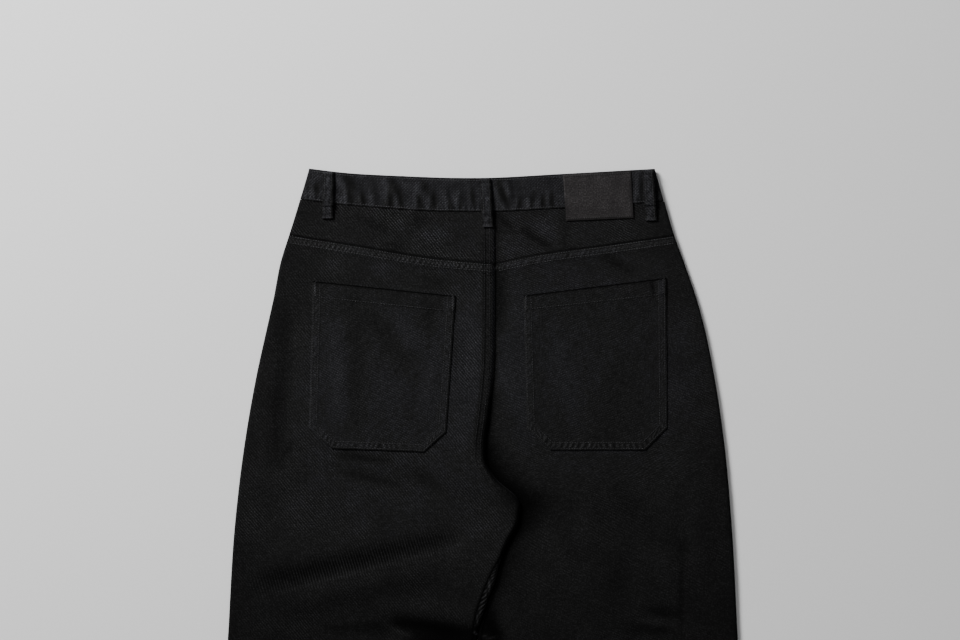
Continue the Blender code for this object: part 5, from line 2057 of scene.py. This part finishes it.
@dataclass
class Button:
    """The waist button under the lapped waistband ends, its plain dished face on the floor."""

    form: Form
    finish: Material
    profile: tuple = (
        (0.0000, 0.00035), (0.0030, 0.00030), (0.0052, 0.00020), (0.0060, 0.00000), (0.0070, 0.00000),
        (0.0080, 0.00025), (0.0085, 0.00070), (0.0085, 0.00150), (0.0078, 0.00172), (0.0060, 0.00180),
        (0.0000, 0.00180),
    )
    sides: int = 48

    def build(self) -> None:
        """The profile turned about the button's own upright line, with its poles closed by a ring."""
        turn = np.arange(self.sides) * 2 * math.pi / self.sides
        radius, height = np.array(self.profile).T
        radius = np.maximum(radius, 0.00002)
        ring = np.stack([np.cos(turn), np.sin(turn)], axis=1)
        x = self.form.button_across + radius[:, None] * ring[None, :, 0]
        tops, feet = (self.form.front_line(table, self.form.button_across) for table in (BAND_TOP, BAND_FOOT))
        down = (tops + feet) / 2 - radius[:, None] * ring[None, :, 1]
        points = self.form.points(x, down, height[:, None]).reshape(-1, 3)
        index, _, quads = ring_faces(len(self.profile), self.sides)
        faces = [*quads[:, ::-1].tolist(), index[0][::-1].tolist(), index[-1].tolist()]
        mesh = bpy.data.meshes.new("waist_button_metal")
        mesh.from_pydata(points.tolist(), [], faces)
        mesh.validate()
        mesh.shade_smooth()
        mesh.set_sharp_from_angle(angle=math.radians(50))
        mesh.materials.append(self.finish)
        made = linked("waist_button_metal", mesh)
        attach(made, "root")
        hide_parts("waist_button")


@dataclass
class Studio:
    """The camera straight above, a plain pale floor, and soft light from the upper left."""

    view_width: float = 1.15584
    view_centre: tuple[float, float] = (-0.0024, 0.3776)
    distance: float = 2.4
    sensor: float = 0.036
    floor_level: float = -0.0006

    def build(self) -> None:
        """Sets the camera, the floor and the lights."""
        scene = bpy.context.scene
        data = bpy.data.cameras.new("camera")
        data.sensor_width = self.sensor * 1000
        data.lens = self.sensor * 1000 * (self.distance - FORM.back_level) / self.view_width
        scene.camera = linked("camera", data)
        scene.camera.location = (*self.view_centre, self.distance)

        bpy.ops.mesh.primitive_plane_add(size=12, location=(0, 0, self.floor_level))
        floor = bpy.context.object
        floor.name = "floor"
        paper = Shading("pale_floor")
        place = paper.node("ShaderNodeTexCoord", out="Object")
        tooth = paper.noise(place, 400.0)
        stops = ((0.2, (0.74, 0.74, 0.74)), (0.8, (0.77, 0.77, 0.77)))
        floor.data.materials.append(paper.finish(Base_Color=paper.ramp(tooth, stops), Roughness=0.9))

        self.light("key", (-1.75, 2.20, 1.65), (0.0, 0.30, 0.0), 1.0, 190.0)
        self.light("top", (0.2, 0.4, 2.6), (0.0, 0.3, 0.0), 2.4, 12.0)
        world = bpy.data.worlds.new("studio")
        world.use_nodes = True
        world.node_tree.nodes["Background"].inputs[0].default_value = (1.0, 1.0, 1.0, 1.0)
        world.node_tree.nodes["Background"].inputs[1].default_value = 0.12
        scene.world = world

    def light(self, name: str, at: tuple, aim: tuple, size: float, power: float) -> None:
        """A square area light at a place, turned to look at another.

        Args:
            name: Its name.
            at: Its place.
            aim: Where it looks.
            size: The length of its sides.
            power: Its power in watts.
        """
        data = bpy.data.lights.new(name, "AREA")
        data.size = size
        data.energy = power
        made = linked(name, data)
        made.location = at
        made.rotation_euler = (Vector(aim) - Vector(at)).to_track_quat("-Z", "Y").to_euler()


def corners(box: tuple) -> list[list[float]]:
    """A box's two corners as plain lists."""
    return [[float(part) for part in corner] for corner in box]


def main() -> None:
    """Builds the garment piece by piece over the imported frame."""
    logging.basicConfig(level=logging.INFO, format="%(message)s")
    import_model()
    Studio().build()

    # The steepness follows each piece's grain; the right-hand copies' weaker twill contrast is painted for
    # the light catching their twill less
    legs = {
        LEFT: Denim("denim_left").material(),
        RIGHT: Denim("denim_right", -24.0, contrast=0.29, dots=0.60).material(),
    }
    yokes = {
        LEFT: Denim("denim_yoke_left", contrast=0.66).material(),
        RIGHT: Denim("denim_yoke_right", -35.0, contrast=0.44, dots=0.50).material(),
    }
    pocket_cloth = {
        LEFT: Denim("denim_pocket_left", 27.0, 0.0026, contrast=0.34, dots=0.60).material(),
        RIGHT: Denim("denim_pocket_right", -21.0, 0.0026, contrast=0.28, dots=0.60).material(),
    }
    band_cloth = Denim("denim_band", 45.0, 0.0027, contrast=0.40, dots=0.60).material()
    black = Thread("black_thread", (0.060, 0.060, 0.064)).material()
    soft = Thread("soft_thread", (0.040, 0.040, 0.043)).material()
    dull = Thread("dull_thread", (0.022, 0.022, 0.024)).material()
    pale = Thread("patch_thread", (0.055, 0.052, 0.052)).material()
    # Painted shade for the needle holes
    hole = Shading("needle_hole").finish(Base_Color=(0.0012, 0.0012, 0.0012, 1.0), Roughness=0.95)

    panels = BackPanels(FORM, legs)
    back_yokes = Yokes(FORM, yokes)
    fronts = Fronts(FORM, legs)
    for side in Side:
        panels.build(side)
        back_yokes.build(side)
        fronts.build(side)
        fronts.build_pocket_side(side)
    band = Waistband(FORM, band_cloth)
    band.build()
    pockets = BackPockets(FORM, pocket_cloth)
    for pocket in POCKETS:
        pockets.build(pocket)
    loops = BeltLoops(FORM, band_cloth)
    for loop in BACK_LOOPS:
        loops.build_back(loop)
    for side in Side:
        loops.build_front(side)
    patch = Patch(FORM, Suede().material())
    patch.build()
    Button(FORM, Gunmetal().material()).build()

    tack = {"hole": None, "share": 0.90, "width": 0.0008, "height": 0.0005}
    for name, thread, settings, sewers in (
        ("back_stitching", black, {}, (panels.sew, band.sew)),
        ("seat_stitching", dull, {}, (panels.sew_seat,)),
        ("pocket_stitching", soft, {}, (pockets.sew, loops.sew)),
        ("bar_tacks", soft, tack, (pockets.tack,)),
        ("front_stitching", black, {"up": -1}, (fronts.sew,)),
        ("patch_stitching", pale, {"share": 0.50, "width": 0.0012}, (patch.sew,)),
    ):
        rows = Stitching(name, thread, **{"hole": hole, **settings})
        for sew in sewers:
            sew(rows)
        rows.build()


if __name__ == "__main__":
    main()
